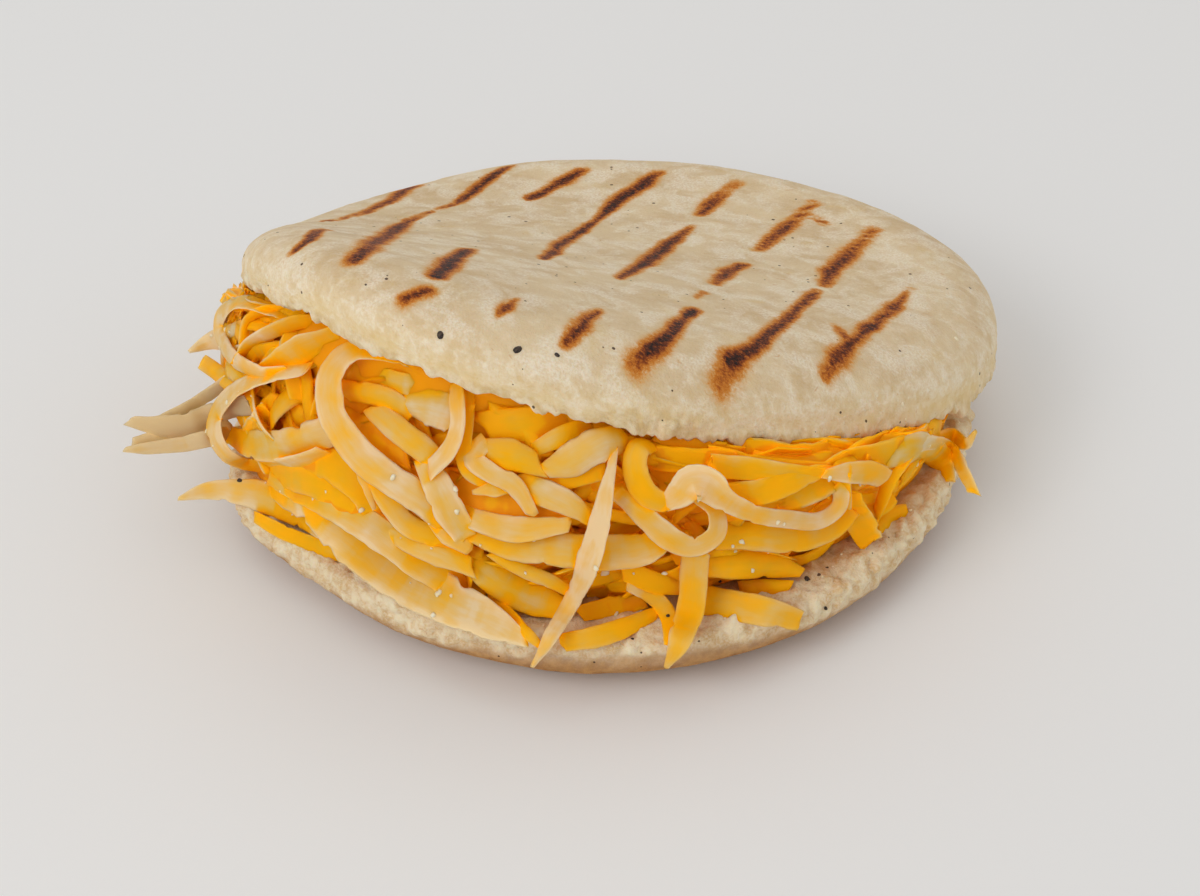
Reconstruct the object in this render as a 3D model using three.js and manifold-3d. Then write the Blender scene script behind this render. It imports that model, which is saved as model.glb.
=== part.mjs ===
// A grilled corn cake (arepa), split from the front and propped open by a heap of shredded cheese.
// Millimetres, +Z up. The origin is the centre of the flat underside; -Y is the open front.

import * as THREE from 'three';
import { mergeVertices } from 'three/addons/utils/BufferGeometryUtils.js';
import Module from 'manifold-3d';

const wasm = await Module();
wasm.setup();

// The cake, as it was before it was opened.
const RADIUS = 55;
const THICKNESS = 21.5;
const CUT_HEIGHT = 10.5; // where the knife went in, above the underside
const LIP_TUCK = 0.3; // how far the cut edge draws in from the widest part
const FOOT_INSET = 13; // the underside's rounded edge, inwards
const FOOT_RISE = 6.5; // and upwards
const SHOULDER_INSET = 11; // the top's rounded edge, inwards
const SHOULDER_DROP = 7; // and downwards
const AROUND = 56; // faces round the rim

// The outlines are not quite round: each lobe is [size, number of lobes, degrees of the first].
const BASE_LOBES = [[2.0, 2, 63], [0.55, 3, 60]];
const BASE_BULGE = { size: 3.4, at: -156, spread: 13 }; // pressed out at the left of the mouth
const LID_LOBES = [[2.35, 2, 29], [2.2, 3, 10]];
const LID_SHRINK = 1;

// How the upper half is lifted: it bends up from a hinge line across the back, steepest in the middle
// where the cheese holds it, and the left side opens wider than the right.
const HINGE_Y = 41.85;
const HINGE_SOFTNESS = 2;
const FIRST_SLOPE = 4.2;
const MORE_SLOPE = 20.8;
const SLOPE_LENGTH = 110.7;
const LEFT_LIFT = 0.58;
const LID_SINK = 0.4; // pressed into the lower half behind the hinge, so that the two are one
const BEND_STEP = 1;
const BEND_REACH = 120; // the table of the bend runs this far from the hinge

// The uncut wall that still joins the halves round the back, from one end of the cut to the other.
const WALL_FROM = -4;
const WALL_TO = 156;
const WALL_RECESS = 1.2; // behind the rim, so that the cut still shows as a groove
const WALL_DEPTH = 7;
const WALL_OVERLAP = 1.2;

// The cheese. The heap's face is an ellipsoid; the core stands behind it and the shreds lie on it.
const FACE_CENTRE = new THREE.Vector3(-3, 0, 22);
const FACE_SIZE = new THREE.Vector3(54, 51, 40);
const CORE_INSET = 3;
const CORE_BACK = 24; // how far back under the lid the cheese reaches
const CORE_WAIST = 0.93; // the core's width at its floor and ceiling, as a share of its middle
const SHRED_THICKNESS = 1.5;
const SHRED_STEP = 4.2;
const ROOT = 1; // how far a shred's rib reaches into the core
const [PROUD, WIDTH] = [2, 3]; // columns of a stop
const CLEARANCE = 0.3; // kept between cheese and bread
const SLIVER = 0.02;
const SETTLE_ROUNDS = 3;
const SAME_POINT = 1e-3;

// Where the shreds are laid out from: a point in front of the mouth, looking down into it.
const LAYOUT_RISE = 39;
const LAYOUT_REACH = 480;
const LAYOUT_AIM = new THREE.Vector3(-1.8, 0, -1);
const REACH_NEAR = 90;
const REACH_FAR = 60;
const SIGHT_STEP = 0.4;

const radians = THREE.MathUtils.degToRad;
const clamp = THREE.MathUtils.clamp;
const lerp = THREE.MathUtils.lerp;

function lobed(radius, lobes, angle) {
  const height = ([size, count, at]) => size * Math.cos(count * (angle - radians(at)));
  return lobes.reduce((sum, lobe) => sum + height(lobe), radius);
}

function angleApart(a, b) {
  return Math.atan2(Math.sin(a - b), Math.cos(a - b));
}

function baseRim(angle) {
  const away = angleApart(angle, radians(BASE_BULGE.at)) / radians(BASE_BULGE.spread);
  return lobed(RADIUS, BASE_LOBES, angle) + BASE_BULGE.size * Math.exp(-away * away);
}

function lidRim(angle) {
  return lobed(RADIUS - LID_SHRINK, LID_LOBES, angle);
}

// The lid's slope at a distance in front of the hinge, and the run and rise that it adds up to.
function slopeAt(distance) {
  const begun = 1 / (1 + Math.exp(-distance / HINGE_SOFTNESS));
  const along = clamp(distance, 0, SLOPE_LENGTH) / SLOPE_LENGTH;
  return radians(FIRST_SLOPE) * begun + radians(MORE_SLOPE) * Math.sin(Math.PI * along);
}

const bendTable = [{ distance: 0, run: 0, rise: 0 }];
for (let distance = 0; distance < BEND_REACH; distance += BEND_STEP) {
  const last = bendTable.at(-1);
  const slope = slopeAt(distance + BEND_STEP / 2);
  bendTable.push({
    distance: distance + BEND_STEP,
    run: last.run + Math.cos(slope) * BEND_STEP,
    rise: last.rise + Math.sin(slope) * BEND_STEP,
  });
}

function bendAt(key, value) {
  if (value <= 0) return { distance: value, run: value, rise: 0 };
  const found = bendTable.findIndex((row) => row[key] >= value);
  const next = found < 0 ? bendTable.length - 1 : Math.max(found, 1);
  const [low, high] = [bendTable[next - 1], bendTable[next]];
  const share = (value - low[key]) / (high[key] - low[key]);
  return {
    distance: lerp(low.distance, high.distance, share),
    run: lerp(low.run, high.run, share),
    rise: lerp(low.rise, high.rise, share),
  };
}

const liftShare = (x) => 1 - (LEFT_LIFT * x) / RADIUS;

// Moves a point of the shut cake's upper half to where the opened lid holds it.
function openLid(point) {
  const distance = HINGE_Y - point.y;
  const bend = bendAt('distance', distance);
  const slope = slopeAt(distance) * liftShare(point.x);
  const above = point.z - CUT_HEIGHT;
  point.y = HINGE_Y - bend.run + above * Math.sin(slope);
  point.z = CUT_HEIGHT - LID_SINK + bend.rise * liftShare(point.x) + above * Math.cos(slope);
}

// Height of the lid's cut face over a point of the plan.
function ceiling(x, y) {
  return CUT_HEIGHT - LID_SINK + bendAt('run', HINGE_Y - y).rise * liftShare(x);
}

// Applies move(point) to every vertex of a geometry.
function reshape(geometry, move) {
  const position = geometry.getAttribute('position');
  const point = new THREE.Vector3();
  for (let i = 0; i < position.count; i += 1) {
    point.fromBufferAttribute(position, i);
    move(point);
    position.setXYZ(i, point.x, point.y, point.z);
  }
  return geometry;
}

// A closed geometry as a solid, with its shared vertices merged and its empty triangles left out.
function toSolid(geometry) {
  geometry.deleteAttribute('normal');
  geometry.deleteAttribute('uv');
  const merged = mergeVertices(geometry, SAME_POINT);
  const index = merged.getIndex().array;
  const corners = [];
  for (let i = 0; i < index.length; i += 3) {
    const [a, b, c] = [index[i], index[i + 1], index[i + 2]];
    if (a !== b && b !== c && c !== a) corners.push(a, b, c);
  }
  const vertProperties = new Float32Array(merged.getAttribute('position').array);
  const triVerts = new Uint32Array(corners);
  return new wasm.Manifold(new wasm.Mesh({ numProp: 3, vertProperties, triVerts }));
}

function toGeometry(solid) {
  const { vertProperties, triVerts } = solid.getMesh();
  const geometry = new THREE.BufferGeometry();
  geometry.setAttribute('position', new THREE.BufferAttribute(vertProperties, 3));
  geometry.setIndex(new THREE.BufferAttribute(triVerts, 1));
  geometry.computeVertexNormals();
  return geometry;
}

const largest = (solid) => solid.decompose().sort((a, b) => b.volume() - a.volume())[0];

// A solid's largest body once slivers are gone and close vertices are merged, so that no scrap or sealed
// pocket between shreds is left.
function settled(solid) {
  let body = largest(solid.simplify(SLIVER));
  for (let round = 0; round < SETTLE_ROUNDS; round += 1) body = largest(toSolid(toGeometry(body)));
  return body;
}

// A turned disc whose profile is [radius, height] from axis to axis, stretched to a rim that isn't round.
function disc(profile, rim) {
  const points = profile.map(([radius, height]) => new THREE.Vector2(radius, height));
  const geometry = new THREE.LatheGeometry(points, AROUND).rotateX(Math.PI / 2);
  return reshape(geometry, (point) => {
    const stretch = rim(Math.atan2(point.y, point.x)) / RADIUS;
    point.x *= stretch;
    point.y *= stretch;
  });
}

// A quarter of an ellipse as profile points, from its flat end to its upright end.
function roundedEdge(inset, height, from, steps = 4) {
  return Array.from({ length: steps + 1 }, (_, i) => {
    const turn = ((i / steps) * Math.PI) / 2;
    return [RADIUS - inset * (1 - Math.sin(turn)), from + height * (1 - Math.cos(turn))];
  });
}

function lowerHalf(grow) {
  const foot = roundedEdge(FOOT_INSET, FOOT_RISE, 0);
  const face = [[RADIUS - LIP_TUCK, CUT_HEIGHT], [RADIUS * 0.7, CUT_HEIGHT], [0, CUT_HEIGHT]];
  return toSolid(disc(grown([[0, 0], ...foot, ...face], grow), baseRim));
}

function upperHalf(grow) {
  const face = [0, 0.25, 0.5, 0.75, 0.9].map((share) => [RADIUS * share, CUT_HEIGHT]);
  const shoulder = roundedEdge(SHOULDER_INSET, -SHOULDER_DROP, THICKNESS).reverse();
  const top = [0.6, 0.4, 0.2, 0].map((share) => [RADIUS * share, THICKNESS]);
  const profile = [...face, [RADIUS - LIP_TUCK, CUT_HEIGHT], ...shoulder, ...top];
  return toSolid(reshape(disc(grown(profile, grow), lidRim), openLid));
}

// A profile with its outline moved outwards all round.
function grown(profile, grow) {
  const middle = (profile[0][1] + profile.at(-1)[1]) / 2;
  return profile.map(([radius, height]) => [
    radius > 0 ? radius + grow : 0,
    height + grow * Math.sign(height - middle),
  ]);
}

// The joined wall: an arc of the rim that runs from the lower half up into the lid.
function joinedWall(grow) {
  const [first, last] = [radians(WALL_FROM) - grow / RADIUS, radians(WALL_TO) + grow / RADIUS];
  const [inner, outer] = [RADIUS - WALL_DEPTH - grow, RADIUS - WALL_RECESS + grow];
  const block = new THREE.BoxGeometry(1, 1, 2, AROUND / 2, 1, 2);
  return toSolid(reshape(block, (point) => {
    const angle = lerp(first, last, point.x + 0.5);
    const upper = point.z >= 0;
    const rim = upper ? lidRim(angle) : baseRim(angle);
    const radius = (lerp(outer, inner, point.y + 0.5) * rim) / RADIUS;
    point.set(radius * Math.cos(angle), radius * Math.sin(angle), CUT_HEIGHT + point.z * WALL_OVERLAP);
    if (upper) openLid(point);
  }));
}

const breadSolid = (grow) => lowerHalf(grow).add(upperHalf(grow)).add(joinedWall(grow));

// The line of sight that the shreds are laid out along.
const forward = new THREE.Vector3(0, Math.cos(radians(LAYOUT_RISE)), -Math.sin(radians(LAYOUT_RISE)));
const upward = new THREE.Vector3(0, Math.sin(radians(LAYOUT_RISE)), Math.cos(radians(LAYOUT_RISE)));
const sideways = new THREE.Vector3(1, 0, 0);
const eye = LAYOUT_AIM.clone().addScaledVector(forward, -LAYOUT_REACH);

// How far out a point is on the heap's face: 1 on it, less inside.
const faceMeasure = (point) => point.clone().sub(FACE_CENTRE).divide(FACE_SIZE).length();

function insideBase(point) {
  if (point.z < 0 || point.z > CUT_HEIGHT) return false;
  const low = clamp((FOOT_RISE - point.z) / FOOT_RISE, 0, 1);
  const inset = FOOT_INSET * (1 - Math.sqrt(1 - low * low));
  return Math.hypot(point.x, point.y) < baseRim(Math.atan2(point.y, point.x)) - inset;
}

// The first point that a line of sight meets on the heap or the lower half, or else where it passes nearest.
function firstTouch(ray) {
    let nearest = { reach: LAYOUT_REACH, measure: Infinity };
  for (let reach = LAYOUT_REACH - REACH_NEAR; reach < LAYOUT_REACH + REACH_FAR; reach += SIGHT_STEP) {
    const point = eye.clone().addScaledVector(ray, reach);
    const measure = faceMeasure(point);
    if (measure < 1 || insideBase(point)) return reach;
    if (measure < nearest.measure) nearest = { reach, measure };
  }
  return nearest.reach;
}

function place([across, up, proud]) {
  const ray = forward.clone();
  ray.addScaledVector(sideways, across / LAYOUT_REACH).addScaledVector(upward, up / LAYOUT_REACH);
  const point = eye.clone().addScaledVector(ray, firstTouch(ray) - proud - SHRED_THICKNESS / 2);
  const under = Math.max(ceiling(point.x, point.y), CUT_HEIGHT + 2 * SHRED_THICKNESS) - SHRED_THICKNESS;
  point.z = Math.min(point.z, under);
  return point;
}

// One shred: a flat strip along a smooth curve through its stops, backed by a rib that roots it in the core.
// roll turns it away from facing the eye, and turn is how much further it has rolled by its far end.
// A stop is [across, up, proud, width].
function shred(roll, turn, ...stops) {
  const curve = new THREE.CatmullRomCurve3(stops.map(place), false, 'catmullrom', 0.5);
  const steps = clamp(Math.round(curve.getLength() / SHRED_STEP), 3, 11);
  const strip = new THREE.BoxGeometry(1, 1, SHRED_THICKNESS, steps, 1, 1);
  const between = (share, column) => {
    const at = share * (stops.length - 1);
    const before = Math.min(Math.floor(at), stops.length - 2);
    return lerp(stops[before][column], stops[before + 1][column], at - before);
  };
  return reshape(strip, (point) => {
    const share = clamp(point.x + 0.5, 0, 1);
    const centre = curve.getPoint(share);
    const along = curve.getTangent(share);
    const sight = centre.clone().sub(eye).normalize();
    const side = sight.clone().cross(along).normalize();
    side.applyAxisAngle(along, radians(roll + turn * share));
    const face = side.clone().cross(along);
    const root = point.z > 0 ? between(share, PROUD) + CORE_INSET + ROOT : 0;
    const { y, z } = point;
    point.copy(centre).addScaledVector(side, y * between(share, WIDTH)).addScaledVector(face, -z);
    point.addScaledVector(sight, root);
  });
}

const shreds = [
  // curls that spring out of the left end of the mouth
  shred(55, 0, [-43, 21.5, 0, 3], [-49, 22.9, 2, 3.2], [-54.5, 23, 3, 3.2], [-57.6, 20, 3.5, 3.2],
    [-57.6, 16.5, 3.5, 3.2], [-55, 13, 3, 3.2], [-51, 11.2, 3, 3], [-47, 11.5, 1, 2.6]),
  shred(55, 0, [-44, 12.2, 1, 3], [-49, 11.2, 2.5, 3.4], [-54.5, 9, 3.5, 3.4], [-57.8, 5.5, 4, 3.4],
    [-58.3, 2, 4, 3.4], [-56.3, -1.2, 3.5, 3.4], [-52, -2.6, 3, 3.4], [-46, -2, 2.5, 3.4],
    [-41.5, -0.5, 1, 3]),
  shred(15, 0, [-56, 2, 0, 2.5], [-52.5, 0.6, 1, 4], [-48, 0.6, 2, 4.6], [-43.5, 1.8, 2, 4.6],
    [-39, 3.5, 1, 4]),
  shred(55, -45, [-28, 13, 0, 3.4], [-33, 14.9, 1.5, 3.8], [-37.5, 14.7, 3, 4], [-40.6, 11.5, 4, 4.2],
    [-41, 7, 4.5, 4.2], [-39.5, 3, 4.5, 4.2], [-36.5, -1, 4.5, 4.4], [-32, -4.6, 4, 4.6], [-27, -8, 3, 4.4],
    [-22.5, -11.5, 1.5, 4]),
  shred(30, 0, [-55, 12.8, 1, 2.2], [-53, 15.8, 1.5, 2.2], [-49.5, 17.8, 1.5, 2.2], [-45, 19.4, 1, 2.2],
    [-40.5, 20.6, 0, 2.2]),
  shred(40, 0, [-53.9, 15.5, 0, 2], [-53.2, 19.3, 0.5, 2], [-50, 21.6, 0.5, 2], [-46, 22, -0.5, 2]),
  shred(20, 25, [-52.6, 11.3, 2.5, 0.8], [-48, 13.6, 2.5, 3.6], [-44, 15.6, 2, 4.6], [-39.5, 17, 1, 3.8],
    [-35, 16.8, 0, 3]),

  // loose ends that stick out past the rim on the left
  shred(10, 0, [-57, 25.2, -1, 1.6], [-56.5, 22.5, -1, 1.8], [-54, 20.5, -2, 1.8]),
  shred(10, 0, [-54, 17.8, -2, 3.2], [-58.5, 16.4, -1, 3], [-62.2, 14.6, -1, 0.5]),
  shred(15, 0, [-60.6, 13.2, 0, 2.2], [-58, 11.5, 0.5, 2.4], [-55.5, 9.6, 0.5, 2.4], [-52, 8, -1, 2.4]),
  shred(20, 0, [-71.5, 4.2, -1, 1.6], [-66.5, 3.2, -0.5, 3.2], [-62, 3.6, 0, 3.4], [-58, 5.4, 0.5, 3.2],
    [-53, 6.5, -1, 3]),
  shred(35, 0, [-66.5, 4.6, -2, 0.8], [-63, 5.8, -2, 2], [-60, 7.6, -2, 2.2], [-56, 10.5, -2, 2.2]),
  shred(15, 0, [-72, -0.2, -1, 0.7], [-69, 0, -1, 1.8], [-63.5, 0.6, -0.5, 2.2], [-58.5, 1.5, 0, 2.6],
    [-54, 2, -1, 2.4]),
  shred(10, 0, [-70.8, 1, -1.5, 1], [-67, 1.8, -1.5, 1.8], [-62, 2.6, -1.5, 1.8], [-56, 3.6, -2, 1.8]),

  // wide shreds that lie along the lower left lip
  shred(5, 0, [-64, -7.7, 1, 0.5], [-59, -6.4, 1.5, 2.6], [-53, -7, 2, 4.6], [-46, -9.3, 2, 4.6],
    [-38, -14, 2, 4]),
  shred(30, 0, [-52.3, -10.3, -0.5, 1.6], [-48, -12.8, 0, 2.6], [-43.5, -14.6, 0.5, 2.6],
    [-38, -16.8, 0, 2]),
  shred(5, 0, [-51, -5, 2, 2.4], [-44, -8.5, 3, 5.6], [-38, -13, 3.5, 7], [-31, -18.6, 3.5, 7.6],
    [-24, -22.6, 3.5, 6.6], [-17, -26, 3, 5], [-10.8, -29.4, 2.5, 1.6]),
  shred(10, 0, [-50, -4.5, 1.5, 2], [-43, -7.6, 2.5, 4], [-36, -11.2, 3, 4.6], [-30, -15.5, 3, 4.6],
    [-24, -19.5, 2.5, 4.2], [-17.5, -22.6, 1.5, 2]),
  shred(20, 0, [-52, -3, 0, 3], [-46, -4.2, 1, 5], [-40, -6.5, 1.5, 5], [-35, -10, 1, 4.6],
    [-30, -13.5, 0.5, 4]),
  shred(15, 0, [-46, -1, 0, 3], [-41, -2.6, 0.5, 4.6], [-36.5, -5.5, 0.5, 4.6], [-33.5, -10, 0, 4]),
  shred(10, 0, [-36.6, -0.5, 1, 1.6], [-35.6, -4.5, 2.5, 2.2], [-34.2, -9.3, 2.5, 0.6]),
  shred(15, 0, [-34.5, -3.5, 1.5, 2], [-32.3, -7.5, 2.5, 3], [-29.5, -11.3, 2.5, 3], [-25, -13.3, 2, 3],
    [-20, -14.8, 1, 2.6]),
  shred(10, 0, [-33, -11.8, 1, 2.6], [-28.5, -14, 2.5, 3.4], [-24, -15.8, 3, 3.8], [-19.3, -18, 3.2, 2.6]),
  shred(12, 0, [-26, -10.3, 1.5, 1.6], [-23, -13, 2.5, 2.8], [-19.5, -15.2, 2, 2]),
  shred(20, 0, [-36, -9, 0, 3.4], [-30, -12.2, 0.5, 3], [-24, -14.6, 0.5, 3], [-18, -16.6, 0, 3]),

  // inside the big curl and just right of it
  shred(15, 0, [-38, 11.5, -0.5, 2.6], [-34, 11, 0, 2.8], [-29.5, 9.8, 0.5, 2.8], [-24.5, 9.2, 0, 2.4]),
  shred(20, 0, [-39, 8.6, 0, 3], [-35, 8.2, 0.8, 3], [-31.5, 7, 0.8, 3], [-28.5, 4.8, 0, 2.6]),
  shred(15, 0, [-34.5, 6, 1, 2.4], [-31.5, 3.2, 2, 3.4], [-28, 0.4, 2, 3.4], [-24.5, -2.4, 1.5, 3]),
  shred(15, 0, [-38.5, 7, -1, 3], [-37, 3.5, -0.5, 4], [-34, 1.6, 0, 4], [-29, -1, 0, 3.4]),
  shred(10, 0, [-30, 6.8, 0, 3], [-26, 6.2, 1, 5.2], [-21, 4.4, 1, 4.6]),
  shred(45, -20, [-22, 11, 1, 2.4], [-21.8, 7, 3, 2.6], [-21.8, 3, 3.6, 2.6], [-23.3, -0.6, 3.6, 2.6],
    [-25.8, -3.4, 3, 2.2]),
  shred(20, 0, [-27.2, -1.6, 1.5, 2], [-24.8, -5.5, 3, 4], [-22.8, -9.5, 3, 4.2], [-20.3, -13.8, 2, 3]),
  shred(20, 0, [-20.3, 9, 0.5, 2.4], [-20.4, 4.5, 1, 2.6], [-20.6, 0, 1.5, 2.6], [-19.6, -3.6, 1.5, 2.4],
    [-16.5, -5.4, 1, 2]),

  // the middle of the mouth
  shred(10, 0, [-17.5, 3, 0, 4], [-11, 3.6, 0.5, 4.6], [-4.5, 5, 0, 3.6]),
  shred(15, 0, [-16.8, 6, 0, 2.6], [-12, 3.2, 0.3, 3], [-8.5, -1.5, 0.3, 3]),
  shred(15, 10, [-17, 1.5, 1, 2.2], [-19.2, -1.4, 2, 2.8], [-16.8, -3.7, 2.5, 2.8], [-13, -5.8, 2.5, 2.8],
    [-10.2, -10, 2.5, 1.8]),
  shred(10, 0, [-19.4, -6.7, 1.5, 0.6], [-16, -6.2, 1.5, 2.4], [-12.5, -5.4, 1, 1.4]),
  shred(10, 0, [-18, -0.2, 1, 2.6], [-13.8, -0.9, 2, 4.2], [-9, -2.4, 1.5, 2.6]),
  shred(10, 0, [-24, -5, -1, 3], [-18.5, -8, 0, 4.6], [-12, -9.8, 0.5, 4.4], [-4.5, -10.4, 0.5, 3]),
  shred(12, 0, [-13, -4.2, 1, 2.4], [-8.5, -7, 2, 3.6], [-4.5, -8.9, 2.4, 3.4], [-1.3, -10.8, 2.4, 2]),
  shred(12, 0, [-24, -8.6, 0.5, 2.6], [-18, -11.2, 1.8, 3.2], [-12, -12.2, 2.4, 3.6],
    [-4.5, -11.6, 2.4, 2]),
  shred(10, 0, [-19.5, -12.6, 1, 2.6], [-13, -14.8, 1.6, 4], [-6, -15.4, 2, 4.6], [0, -15.8, 2, 4.8],
    [6, -15.2, 1.6, 4.4], [11, -13, 0.5, 3.4]),
  shred(25, 0, [-16.5, -15.8, 1, 1.8], [-12.5, -18.2, 2, 2.2], [-8, -20, 2.4, 2.2], [-3.5, -22.4, 2, 1.6]),
  shred(10, 0, [-19, -17.5, 1, 3.6], [-14.5, -20.8, 1.6, 5], [-9.5, -23, 2, 5], [-4.5, -24.8, 2, 2.4]),
  shred(20, 0, [-17, -22.2, 1.5, 1.2], [-13.6, -25.2, 3, 1.6], [-10.6, -28.6, 3, 1.6],
    [-8.6, -30.5, 3, 0.7]),
  shred(12, 10, [2.4, 0.5, 1, 1], [1.1, -5.5, 3.6, 2.2], [0, -11, 5, 3.4], [-1.6, -17, 5.6, 3.8],
    [-4.6, -23.5, 5.4, 3], [-7.8, -29, 4.6, 2.6], [-10.4, -33.2, 4, 0.6]),
  shred(10, 0, [-8.5, -3.8, 1.5, 2], [-4.5, -2.2, 2.4, 4.6], [0, 0.4, 2.4, 5], [4.2, 3.4, 0.5, 3.4]),
  shred(12, 0, [-10.5, -0.5, 0.5, 1.6], [-6, 1.6, 1.2, 3], [-1, 4.2, 0, 3]),
  shred(15, 0, [-12.5, -5.5, 0, 2], [-6.5, -5.2, 0.5, 2.2], [0.5, -3.6, 0.8, 2.2]),

  // the pale arch, and what curls round it
  shred(35, -15, [7.8, 3.4, 0, 2.6], [5.6, 0, 1.8, 3.2], [5.2, -3.6, 2.4, 3.4], [7.2, -7.2, 2.8, 3.2],
    [10.6, -8.7, 3, 2.6]),
  shred(10, 0, [9.4, -9, 2.4, 1.8], [12.2, -7, 4.4, 3.8], [13.8, -5.2, 5.4, 5], [16.5, -5.5, 5.4, 4.6],
    [19, -7.9, 4.6, 3.2], [23, -9.9, 3.6, 2.6], [28, -10.7, 3, 2.4], [33, -10.9, 2.4, 2.4],
    [36.2, -8.8, 2.2, 2.2], [36.4, -5, 1, 2]),
  shred(20, 25, [2.4, -6.6, 0.5, 2.2], [5.8, -9.4, 2, 3], [10, -13, 2.8, 3.6], [14, -14.8, 3.2, 3.4],
    [17.3, -13, 3.2, 3.4], [17.4, -9.5, 2, 3.2], [14.5, -7, 0.5, 3]),
  shred(10, 0, [14.6, -14.5, 1.5, 3.2], [14.2, -20, 3.2, 3.8], [13.6, -25, 3.8, 3.8], [12, -29.5, 3.6, 3],
    [10, -33.3, 3.2, 0.7]),
  shred(12, 0, [7.5, 1.6, -1, 3.2], [13, 1.8, -0.6, 3.4], [19, 1.4, -1, 3]),
  shred(12, 0, [7, -1.6, -0.6, 3.2], [13, -1.9, 0, 3.2], [20, -2, -0.6, 3]),
  shred(15, 0, [7.5, -5, -1, 4.2], [13, -5.2, -0.6, 4], [19, -5, -1, 3]),
  shred(12, 0, [4.2, -20.5, 1, 1.8], [8, -22.4, 1.6, 2.2], [10.3, -25.3, 1.8, 2.4], [10.6, -30, 1.6, 1.6]),
  shred(12, 0, [-6, -29.6, 1, 2.6], [-1, -28.6, 1.6, 3], [4, -27, 1.6, 2.8], [9, -25, 1, 1.8]),
  shred(15, 0, [-3, -25.2, 0.6, 2.4], [2, -24, 1, 3], [7, -23.2, 0.6, 1.8]),
  shred(20, 0, [3.5, -18.2, 0, 3], [8, -20.2, 0.4, 3], [12.5, -21, 0, 2.4]),

  // the right of the mouth
  shred(10, 0, [16, -17.6, 1, 3.4], [22, -17.8, 1.6, 4], [27, -17.9, 2, 3.6], [30.8, -19, 2, 1.4]),
  shred(8, 0, [15, -22.8, 1.6, 4], [20, -23.6, 2, 4.2], [25.5, -24.7, 2, 4], [30.3, -26.2, 2, 2.8]),
  shred(15, 0, [21, -21.4, 0, 2.4], [25, -21.2, 0.5, 2.6], [29, -20.8, 0.5, 1.4]),
  shred(12, 0, [17.5, -13.2, 0, 4], [24, -13.4, 1, 4], [30, -13.6, 1.6, 3.6], [35, -12.3, 1.6, 3],
    [38.5, -9.3, 0.6, 2.4]),
  shred(12, 0, [17, -2.6, 0.6, 3.2], [24, -2.6, 1.4, 3], [30, -2.1, 1.8, 2.2], [35.6, -1.9, 1.6, 0.7]),
  shred(14, 0, [18, -6.6, 1, 2.4], [24, -6.8, 2, 3.4], [29, -5, 2, 3], [33, -2.9, 1.6, 2],
    [35.6, -1.6, 1, 0.7]),
  shred(20, 0, [17, 1, 0, 2.6], [24, 0.8, 0.5, 2.2], [30, 0.3, 0.6, 1.8], [35, -1.2, 0.4, 1.2]),
  shred(10, 0, [39.2, 3, 0, 2.6], [37.4, 0, 1, 3], [36.4, -4, 1.2, 3.2], [36.8, -9, 1, 2.4]),
  shred(8, 0, [33.8, -3.1, 2, 1.2], [37, -3, 2.6, 2.6], [40.5, -3.8, 2.6, 3], [43.4, -4.7, 2.4, 2.8]),
  shred(25, 0, [47, -0.6, 0.6, 1.6], [44, -4.5, 1.4, 2], [42.6, -8, 1.4, 1.8], [41, -12.3, 1, 1.2]),
  shred(8, 0, [37.6, -6.5, 0, 3], [38.8, -10.5, 0.8, 4.4], [41, -14.4, 0.8, 3.4]),
  shred(25, 0, [42, -12.6, 0, 2.6], [44, -10.4, 0.2, 3], [47, -9.4, 0, 2]),
  shred(12, 0, [44, 2.6, 0.5, 3], [48.5, 1.2, 1.8, 4.2], [51.3, -1.8, 2, 4], [53, -5, 1.6, 1.2]),
  shred(20, 0, [46.5, 4.4, 1, 1.8], [50.2, 3, 2.6, 2], [53, 0, 3, 2], [55.2, -4, 3, 1.9],
    [56.6, -7, 3, 1.7]),
  shred(20, 0, [50, 4.8, 0, 2.2], [53.3, 1.6, 1, 2.6], [55.6, 0.6, 1.6, 1.6], [57, 2.5, 1.6, 0.5]),
];

// The core fills the opening between the halves, a little behind the shreds that show.
function heapCore() {
  const drum = new THREE.CylinderGeometry(1, 1, 1, AROUND, 3).rotateX(Math.PI / 2);
  return toSolid(reshape(drum, (point) => {
    const share = point.z + 0.5;
    const flat = new THREE.Vector2(point.x * (FACE_SIZE.x - CORE_INSET), point.y * (FACE_SIZE.y - CORE_INSET));
    const middle = 1 - Math.abs(2 * share - 1);
    flat.multiplyScalar(lerp(CORE_WAIST, 1, middle));
    point.x = FACE_CENTRE.x + flat.x;
    point.y = Math.min(FACE_CENTRE.y + flat.y, CORE_BACK);
    const top = ceiling(point.x, point.y) - CLEARANCE;
    point.z = lerp(CUT_HEIGHT + CLEARANCE, top, share);
  }));
}

function cheeseSolid() {
  const heap = shreds.reduce((sum, strip) => sum.add(toSolid(strip)), heapCore());
  return settled(heap.subtract(breadSolid(CLEARANCE)));
}

const part = new THREE.Group();

const bread = new THREE.Mesh(
  toGeometry(breadSolid(0)),
  new THREE.MeshStandardMaterial({ color: 0xd8c39a, roughness: 0.8, metalness: 0 }),
);
bread.name = 'bread';

const cheese = new THREE.Mesh(
  toGeometry(cheeseSolid()),
  new THREE.MeshStandardMaterial({ color: 0xe3ab4e, roughness: 0.5, metalness: 0 }),
);
cheese.name = 'cheese';

part.add(bread, cheese);

export default part;
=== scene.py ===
"""The looks of a grilled, cheese-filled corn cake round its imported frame: crust, crumb, grill marks, shreds.

The cake's shape is worked out in millimetres, like the solids', and turned into metres where a mesh is made.
"""

import functools
import itertools
import math

import bmesh
import bpy
import numpy as np
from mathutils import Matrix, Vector
from mathutils.bvhtree import BVHTree


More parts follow.
